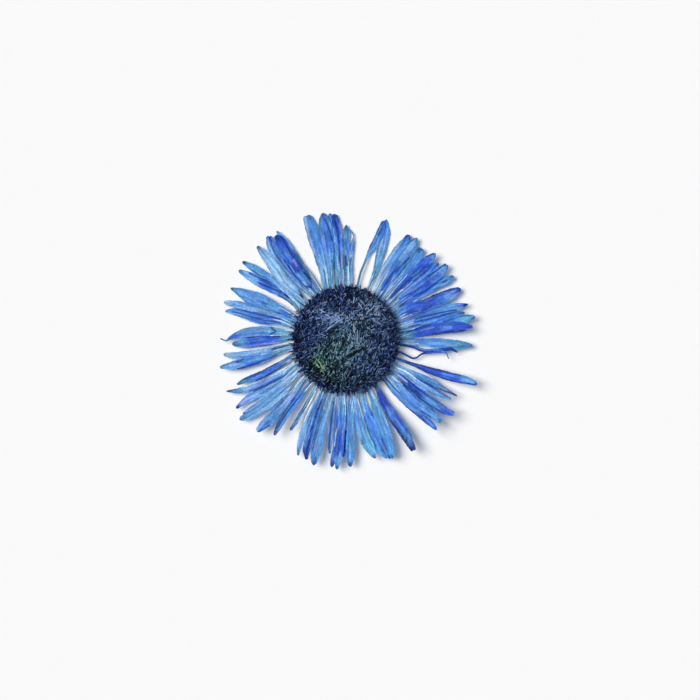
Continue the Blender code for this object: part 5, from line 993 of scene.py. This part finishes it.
# the low layer is painted darker than the layers above it, as painted shade under them
pappus("pappus_low", 2000, 51, (0.0, 0.97), (0.26, 0.46), (0.060, 0.100), (-0.10, 0.02), 0.34)
pappus("pappus_top", 1300, 52, (0.0, 0.93), (0.26, 0.52), (0.060, 0.104), (-0.02, 0.09), 1.50)
pappus("pappus_fine", 1000, 53, (0.0, 0.95), (0.26, 0.54), (0.052, 0.090), (0.02, 0.12), 4.1)
pappus("pappus_rim", 1300, 54, (0.91, 1.013), (0.30, 0.68), (0.050, 0.095), (-0.16, 0.0), 0.66, radial=0.72, clumps=92)
dashes("disc_strokes", 55, [
    # the near-black strands along the creases are painted shade in the grooves
    (348.4, 356.5, 364.8, 347.6, .12, (2, 4, 10), 1, 0), (352.0, 354.6, 361.4, 349.4, .13, (2, 4, 10), 1, 0),
    (347.5, 353.8, 357.0, 348.0, .08, (120, 146, 172), 1, 0), (357.5, 347.2, 365.5, 342.8, .09, (128, 150, 170), 1, 0), (349.6, 359.4, 357.0, 355.4, .09, (118, 142, 166), 1, 0), (358.6, 353.8, 365.4, 350.4, .08, (104, 128, 156), 1, 0),
    (327.6, 328.9, 336.6, 323.4, .16, (152, 178, 214), 1, 0), (335.4, 323.2, 345.4, 317.4, .13, (130, 156, 198), 1, 0), (330.3, 323.6, 342.3, 317.4, .10, (150, 176, 214), 1, 0), (331.0, 321.4, 338.4, 317.6, .12, (120, 146, 196), 2, 0.8),
    (325.0, 331.4, 333.0, 326.6, .10, (112, 136, 172), 1, 0), (333.0, 327.4, 343.0, 321.4, .08, (100, 122, 156), 1, 0),
    # a near-black strand under the pale line: painted shadow
    (327.0, 332.0, 343.5, 322.8, .15, (12, 18, 32), 1, 0),
    (325.6, 314.6, 330.0, 316.8, .14, (158, 178, 218), 1, 0), (328.6, 317.6, 334.0, 316.6, .15, (140, 164, 212), 1, 0), (328.8, 320.6, 334.6, 318.2, .10, (120, 140, 190), 3, 1.2), (319.5, 309.5, 325.2, 313.6, .07, (160, 174, 204), 2, 0.6), (322.0, 317.0, 327.0, 321.4, .08, (104, 122, 172), 3, 1.4),
    (325.0, 326.0, 328.0, 320.0, .09, (88, 112, 168), 3, 1.2), (318.0, 309.5, 322.0, 306.5, .08, (96, 112, 148), 4, 2.0),
    (354.6, 333.4, 354.2, 324.6, .13, (136, 162, 196), 1, 0), (356.9, 343.6, 357.6, 331.0, .17, (126, 152, 186), 1, 0), (354.9, 340.0, 355.2, 333.6, .12, (134, 158, 186), 1, 0), (355.3, 346.0, 355.8, 340.0, .09, (116, 140, 160), 2, 1.0), (359.2, 341.0, 359.4, 334.0, .08, (98, 124, 160), 2, 1.0), (350.6, 349.0, 353.0, 342.0, .07, (128, 150, 164), 2, 1.2),
    (354.3, 331.0, 353.6, 322.5, .11, (130, 152, 176), 4, 0.9),
    (316.4, 358.2, 319.4, 362.0, .11, (132, 176, 126), 1, 0), (318.2, 360.6, 321.4, 365.4, .13, (156, 196, 142), 1, 0), (316.6, 364.4, 320.0, 367.6, .11, (146, 186, 142), 1, 0), (320.8, 364.8, 323.4, 369.4, .12, (172, 206, 168), 1, 0), (322.8, 361.2, 325.2, 365.4, .10, (112, 156, 112), 1, 0), (321.0, 369.4, 324.4, 373.4, .11, (146, 180, 150), 1, 0), (315.8, 362.6, 318.0, 366.4, .08, (104, 156, 122), 2, 0.8), (321.2, 358.8, 324.0, 363.2, .055, (96, 140, 104), 3, 1.4), (322.8, 366.0, 325.6, 371.4, .06, (140, 172, 140), 2, 0.8), (311.6, 360.6, 315.2, 359.2, .06, (100, 140, 96), 2, 0.9),
    (320.0, 371.0, 322.0, 367.0, .05, (130, 166, 140), 2, 2.0), (327.8, 374.4, 330.0, 371.6, .11, (146, 184, 186), 1, 0),
    (311.0, 375.5, 312.5, 373.0, .05, (100, 136, 104), 2, 1.6),
    (366.2, 314.6, 370.4, 309.4, .13, (158, 184, 214), 1, 0), (370.6, 309.8, 375.6, 304.4, .12, (146, 172, 206), 1, 0), (358.4, 303.1, 362.8, 310.3, .13, (132, 156, 192), 1, 0), (369.0, 314.4, 377.4, 315.6, .12, (136, 162, 198), 1, 0), (376.2, 322.0, 382.0, 324.8, .12, (140, 166, 198), 1, 0), (372.4, 318.8, 376.8, 322.4, .12, (126, 150, 186), 1, 0), (361.6, 300.6, 365.8, 306.0, .11, (116, 140, 178), 2, 0.9), (365.6, 306.6, 369.4, 304.2, .08, (140, 160, 184), 2, 0.8), (374.4, 311.4, 379.4, 307.0, .08, (140, 160, 184), 3, 1.4), (368.0, 328.6, 371.6, 331.6, .08, (120, 142, 168), 3, 1.8), (381.0, 315.0, 385.0, 319.0, .07, (120, 140, 168), 2, 1.2),
    (375.0, 318.0, 380.0, 321.5, .09, (110, 132, 162), 4, 1.8), (340.5, 297.5, 342.8, 293.0, .09, (118, 128, 160), 2, 1.0),
    (353.6, 303.4, 354.6, 296.0, .14, (146, 168, 200), 1, 0), (355.6, 302.0, 356.6, 297.6, .09, (126, 146, 180), 1, 0), (345.0, 303.0, 349.0, 299.0, .06, (150, 160, 190), 3, 2.4), (382.0, 336.0, 384.0, 329.5, .08, (112, 128, 156), 3, 1.6),
    (373.4, 359.0, 376.6, 351.2, .10, (126, 150, 184), 1, 0), (368.8, 350.6, 371.2, 345.0, .09, (120, 144, 178), 2, 1.0), (362.6, 371.0, 363.6, 363.4, .12, (116, 140, 184), 1, 0), (365.4, 366.0, 366.6, 360.0, .07, (128, 150, 184), 2, 1.0), (352.4, 366.0, 356.0, 361.6, .08, (134, 156, 170), 2, 1.2),
    (336.0, 361.0, 338.5, 354.5, .08, (98, 122, 140), 3, 1.6), (375.0, 374.0, 378.5, 366.5, .08, (96, 116, 146), 4, 2.6),
    (344.0, 378.0, 348.0, 371.0, .08, (88, 108, 130), 5, 3.2), (355.0, 384.0, 358.5, 377.5, .075, (76, 96, 124), 5, 3.0),
])


# ---------------------------------------------------------------- bracts, receptacle, stalk end
def leaf_material(name, rough, veins_at):
    """Dried bract or pith: long fibres, brown blotches and a fine grain."""
    g = Graph(name)
    grain = g.attribute("grain", "Vector")
    fibre = g.noise(g.stretch(grain, (0.8, veins_at, 3.0)), 1.0, 3.0, 0.6, 0.2)
    blotch = g.noise(g.stretch(grain, (1.6, 1.8, 2.1), (7.0, 0.0, 0.0)), 1.0, 3.0, 0.6, 0.5)
    dust = g.noise(g.stretch(grain, (14.0, 15.0, 9.0)), 1.0, 1.0, 0.6)
    col = g.shade(g.attribute("paint", "Color"), g.span(fibre, 0.30, 0.70, 0.66, 1.30))
    col = g.mix(g.span(blotch, 0.52, 0.75, 0.0, 0.55), col, (*linear((104, 84, 52)), 1.0))
    col = g.mix(g.span(blotch, 0.44, 0.26, 0.0, 0.40), col, (*linear((52, 82, 84)), 1.0))
    col = g.shade(col, g.span(dust, 0.3, 0.7, 0.86, 1.14))
    g.put(g.shader.inputs["Base Color"], col)
    g.put(g.shader.inputs["Roughness"], g.span(fibre, 0.3, 0.7, rough - 0.06, rough + 0.12))
    g.shader.inputs["Specular IOR Level"].default_value = 0.25
    g.bump(g.math("ADD", fibre, g.math("MULTIPLY", dust, 0.4)), 0.00004, 0.7)
    return g.mat


LEAF = {"phyllary": leaf_material("phyllary", 0.72, 7.0), "pith": leaf_material("receptacle", 0.84, 4.0), "down": fuzz_material("bract_down", 0.8, 0.2)}


def whorl(name, node, z0, turned_by, tips, seed):
    """Lance-shaped bracts with a keel, each lapping over its neighbour; flat below, where the head lies on them."""
    rng = np.random.RandomState(seed)
    rows, cols = 26, 9
    verts, paint, grain, faces = [], [], [], []
    for b in range(BRACTS):
        angle = math.tau * (b + 0.5) / BRACTS + turned_by + rng.uniform(-0.03, 0.03)
        r0, r1 = 0.93 * MM, tips[b % len(tips)] * MM * rng.uniform(0.985, 1.01)
        t = np.linspace(0, 1, rows)[:, None]
        v = np.linspace(-1, 1, cols)[None, :]
        r = r0 + (r1 - r0) * t
        half = np.minimum(0.5 * math.tau * r / BRACTS * 1.22, 0.74 * MM) * np.clip((1.0 - t) / 0.24, 0.03, 1.0) ** 0.75
        half = half * (1 + 0.05 * np.sin(9 * t + b))
        bend = 0.10 * MM * np.sin(1.3 * b) * t ** 2
        along, across = r + 0 * v, half * v + bend
        low = z0 + 0.012 * MM * (1 + v) + 0.004 * MM * (1 + np.sin(7 * t + b)) + 0 * along
        thick = (BRACT_T - 0.036 * MM) * (0.42 + 0.58 * np.exp(-(v / 0.42) ** 2)) * np.clip((1.0 - t) / 0.16, 0.35, 1.0)
        high = low + thick + 0.012 * MM * np.cos(9 * v) * (np.abs(v) < 0.9)
        ca, sa = math.cos(angle), math.sin(angle)
        x = CENTRE_X + along * ca - across * sa
        y = CENTRE_Y + along * sa + across * ca
        start = b * rows * cols * 2
        for z in (high, low):
            verts.append(np.stack([x, y, z], -1).reshape(-1, 3))
            green = linear((92, 108, 62)) * (1 - t[..., None]) + linear((84, 116, 70)) * t[..., None]
            straw = linear((150, 142, 96))
            edge = np.clip((np.abs(v) - 0.62) / 0.38, 0, 1)[..., None] * 0.6
            tone = (green * (1 - edge) + straw * edge) * rng.uniform(0.85, 1.12)
            tone = tone * (1 - 0.5 * np.exp(-(v / 0.10) ** 2)[..., None])
            tip = np.clip((t - 0.86) / 0.14, 0, 1)[..., None]
            tone = tone * (1 - tip) + linear((96, 84, 104)) * tip
            paint.append(np.broadcast_to(tone, x.shape + (3,)).reshape(-1, 3))
            grain.append(np.stack([along / MM, across / MM, np.full(x.shape, b * 1.9)], -1).reshape(-1, 3))
        n = rows * cols
        at = lambda i, j: start + i * cols + j
        for i in range(rows - 1):
            for j in range(cols - 1):
                quad = (at(i, j), at(i + 1, j), at(i + 1, j + 1), at(i, j + 1))
                faces += [quad, tuple(q + n for q in reversed(quad))]
        loop = ([at(i, 0) for i in range(rows)] + [at(rows - 1, j) for j in range(1, cols)]
                + [at(i, cols - 1) for i in range(rows - 2, -1, -1)] + [at(0, j) for j in range(cols - 2, 0, -1)])
        for p, q in zip(loop, loop[1:] + loop[:1]):
            faces.append((p + n, q + n, q, p))
    return piece(name, np.concatenate(verts), faces, np.concatenate(paint), np.concatenate(grain), LEAF["phyllary"], [node])


def down(name, node, count, r_range, z_range, seed):
    """Fine pale hairs that stand off the bracts' outer halves, lying nearly flat."""
    rng = np.random.RandomState(seed)
    a = rng.uniform(0, math.tau, count)
    r = rng.uniform(*r_range, count) * MM
    z = rng.uniform(*z_range, count) * MM
    foot = np.stack([CENTRE_X + r * np.cos(a), CENTRE_Y + r * np.sin(a), z], -1)
    turn = a + rng.normal(0, 0.5, count)
    long = rng.uniform(0.25, 0.55, count) * MM
    tip = foot + np.stack([np.cos(turn) * long, np.sin(turn) * long, rng.uniform(-0.02, 0.03, count) * MM], -1)
    tip[:, 2] = np.clip(tip[:, 2], 0.012 * MM, 0.31 * MM)
    bow = rng.normal(0, 0.03, (count, 3)) * MM
    bow[:, 2] = np.abs(bow[:, 2]) * 0.3
    tone = linear((196, 200, 190)) * rng.uniform(0.6, 1.1, count)[:, None]
    return strands(name, foot, tip, rng.uniform(0.014, 0.024, count) * MM, bow, tone * 0.8, tone, LEAF["down"], seed, nodes=(node,))


def turned(name, profile, around, tone_at, wobble):
    """A closed turned body; the profile runs from the top of the axis down its outer side to the bottom of the axis."""
    verts, paint, grain, faces = [], [], [], []
    for i, (r, z) in enumerate(profile[1:-1]):
        for k in range(around):
            a = math.tau * k / around
            dr, dz = wobble(r, z, a)
            verts.append((CENTRE_X + (r + dr) * math.cos(a), CENTRE_Y + (r + dr) * math.sin(a), z + dz))
            paint.append(tone_at(r, z, a))
            grain.append((r / MM, a * 3.0, z / MM))
    n = len(profile) - 2
    for end in (profile[0], profile[-1]):
        verts.append((CENTRE_X, CENTRE_Y, end[1]))
        paint.append(tone_at(0.0, end[1], 0.0))
        grain.append((0.0, 0.0, end[1] / MM))
    top, bottom = n * around, n * around + 1
    for k in range(around):
        k2 = (k + 1) % around
        faces.append((top, k, k2))
        faces.append((bottom, (n - 1) * around + k2, (n - 1) * around + k))
        for i in range(n - 1):
            faces.append((i * around + k, (i + 1) * around + k, (i + 1) * around + k2, i * around + k2))
    return piece(name, np.array(verts), faces, np.array(paint), np.array(grain), LEAF["pith"], ["receptacle"])


def plate_tone(r, z, a):
    n = 0.5 + 0.5 * noise.noise(Vector((r / MM * 2.0 * math.cos(a), r / MM * 2.0 * math.sin(a), z / MM * 4)))
    base = linear((126, 124, 84)) if r < 4.4 * MM else linear((112, 126, 118))
    return base * (0.6 + 0.7 * n)


def plate_wobble(r, z, a):
    out = 0.035 * MM * math.cos(60 * a) * (r > 4.85 * MM) * 0.6 - 0.02 * MM * (r > 4.85 * MM)
    up = 0.010 * MM * math.cos(42 * a) * min(1.0, r / (3 * MM)) if r < 4.9 * MM else 0.0
    return out, up if z < 0.5 * MM else -abs(up)


whorl("bracts_outer", "phyllaries_outer", 0.0, 0.0, (5.85, 6.05, 5.7, 5.95, 6.1, 5.8), 81)
whorl("bracts_inner", "phyllaries_inner", BRACT_T + BRACT_GAP, math.pi / BRACTS, (6.2, 6.35, 6.1, 6.45, 6.15), 82)
down("bract_hairs_outer", "phyllaries_outer", 420, (4.3, 5.9), (0.02, 0.12), 83)
down("bract_hairs_inner", "phyllaries_inner", 380, (4.6, 6.1), (0.18, 0.29), 84)
turned("receptacle_plate", [(0.0, RECEPT_Z1)] + [(r * MM, RECEPT_Z1 - 0.004 * MM) for r in (0.6, 1.3, 2.0, 2.7, 3.4, 4.1, 4.6)]
       + [(4.90 * MM, RECEPT_Z1 - 0.01 * MM), (4.97 * MM, RECEPT_Z1 - 0.06 * MM), (RECEPT_R, RECEPT_Z1 - 0.12 * MM), (RECEPT_R, 0.85 * MM), (RECEPT_R, 0.65 * MM),
          (RECEPT_R, 0.50 * MM), (RECEPT_R, RECEPT_Z0 + 0.08 * MM), (4.96 * MM, RECEPT_Z0 + 0.03 * MM), (4.88 * MM, RECEPT_Z0 + 0.012 * MM)]
       + [(r * MM, RECEPT_Z0 + 0.012 * MM) for r in (4.5, 3.9, 3.2, 2.5, 1.8, 1.1)] + [(0.0, RECEPT_Z0 + 0.012 * MM)], 180, plate_tone, plate_wobble)


def stalk_tone(r, z, a):
    ring = math.exp(-((r / MM - 0.52) / 0.09) ** 2) * (0.5 + 0.5 * math.cos(14 * a))
    inner = linear((168, 160, 118)) * (1 - ring) + linear((84, 74, 44)) * ring
    return inner if r < 0.72 * MM else linear((98, 106, 66))


def stalk_wobble(r, z, a):
    out = 0.035 * MM * math.cos(11 * a) - 0.03 * MM if r > 0.6 * MM else 0.0
    return out, 0.006 * MM * math.cos(9 * a + r * 9000) if z < 0.03 * MM and 0.1 * MM < r < 0.7 * MM else 0.0


turned("stalk_cut", [(0.0, RECEPT_Z0 + 0.05 * MM), (0.5 * MM, RECEPT_Z0 + 0.05 * MM), (0.79 * MM, RECEPT_Z0 + 0.04 * MM), (STALK_R, RECEPT_Z0), (STALK_R, 0.24 * MM),
                     (STALK_R, 0.14 * MM), (STALK_R, 0.05 * MM), (0.785 * MM, 0.012 * MM), (0.74 * MM, 0.0), (0.64 * MM, 0.008 * MM), (0.52 * MM, 0.010 * MM),
                     (0.40 * MM, 0.012 * MM), (0.26 * MM, 0.022 * MM), (0.12 * MM, 0.035 * MM), (0.0, 0.04 * MM)], 110, stalk_tone, stalk_wobble)


# ---------------------------------------------------------------- floor, light, camera
def studio():
    g = Graph("floor_paper")
    coords = g.nodes.new("ShaderNodeNewGeometry").outputs["Position"]
    tooth = g.noise(g.stretch(coords, (900.0, 900.0, 900.0)), 1.0, 2.0, 0.5)
    col = g.nodes.new("ShaderNodeCombineColor")
    for k in range(3):
        g.put(col.inputs[k], g.span(tooth, 0.3, 0.7, 0.893, 0.899))
    g.put(g.shader.inputs["Base Color"], col.outputs[0])
    g.shader.inputs["Roughness"].default_value = 0.9
    g.shader.inputs["Specular IOR Level"].default_value = 0.0
    mesh = bpy.data.meshes.new("floor")
    r = 1.2
    mesh.from_pydata([(-r, -r, 0), (r, -r, 0), (r, r, 0), (-r, r, 0)], [], [(0, 1, 2, 3)])
    mesh.materials.append(g.mat)
    floor = bpy.data.objects.new("floor", mesh)
    bpy.context.scene.collection.objects.link(floor)

    world = bpy.data.worlds.new("studio")
    bpy.context.scene.world = world
    world.use_nodes = True
    world.node_tree.nodes["Background"].inputs["Color"].default_value = (0.83, 0.97, 1.20, 1.0)
    world.node_tree.nodes["Background"].inputs["Strength"].default_value = 0.11

    lamp = bpy.data.lights.new("softbox", "SUN")
    lamp.energy = 2.97
    lamp.angle = 0.60
    lamp.color = (1.065, 1.007, 0.918)
    sun = bpy.data.objects.new("softbox", lamp)
    bpy.context.scene.collection.objects.link(sun)
    travel = Vector((1.0, -0.34, -1.42))    # down at 53 degrees, to the right and a little towards the viewer
    sun.rotation_euler = travel.to_track_quat("-Z", "Y").to_euler()

    glow = bpy.data.lights.new("glow", "SUN")      # a weak light from above that reaches into the gaps between the rays
    glow.energy = 0.62
    glow.angle = 1.0
    glow.color = (0.83, 0.97, 1.20)
    glow.use_shadow = False
    overhead = bpy.data.objects.new("glow", glow)
    bpy.context.scene.collection.objects.link(overhead)

    lens = bpy.data.cameras.new("camera")
    lens.lens, lens.sensor_width, lens.sensor_fit = 85.0, 36.0, "HORIZONTAL"
    lens.clip_start, lens.clip_end = 0.001, 10.0
    camera = bpy.data.objects.new("camera", lens)
    bpy.context.scene.collection.objects.link(camera)
    x, y = flat_xy(350.0, 350.0)
    frame_width = 700.0 * GRID
    camera.location = (x, y, 0.001 + frame_width * lens.lens / lens.sensor_width)
    bpy.context.scene.camera = camera
    bpy.context.scene.view_settings.view_transform = "Standard"


studio()

bpy.context.view_layer.update()
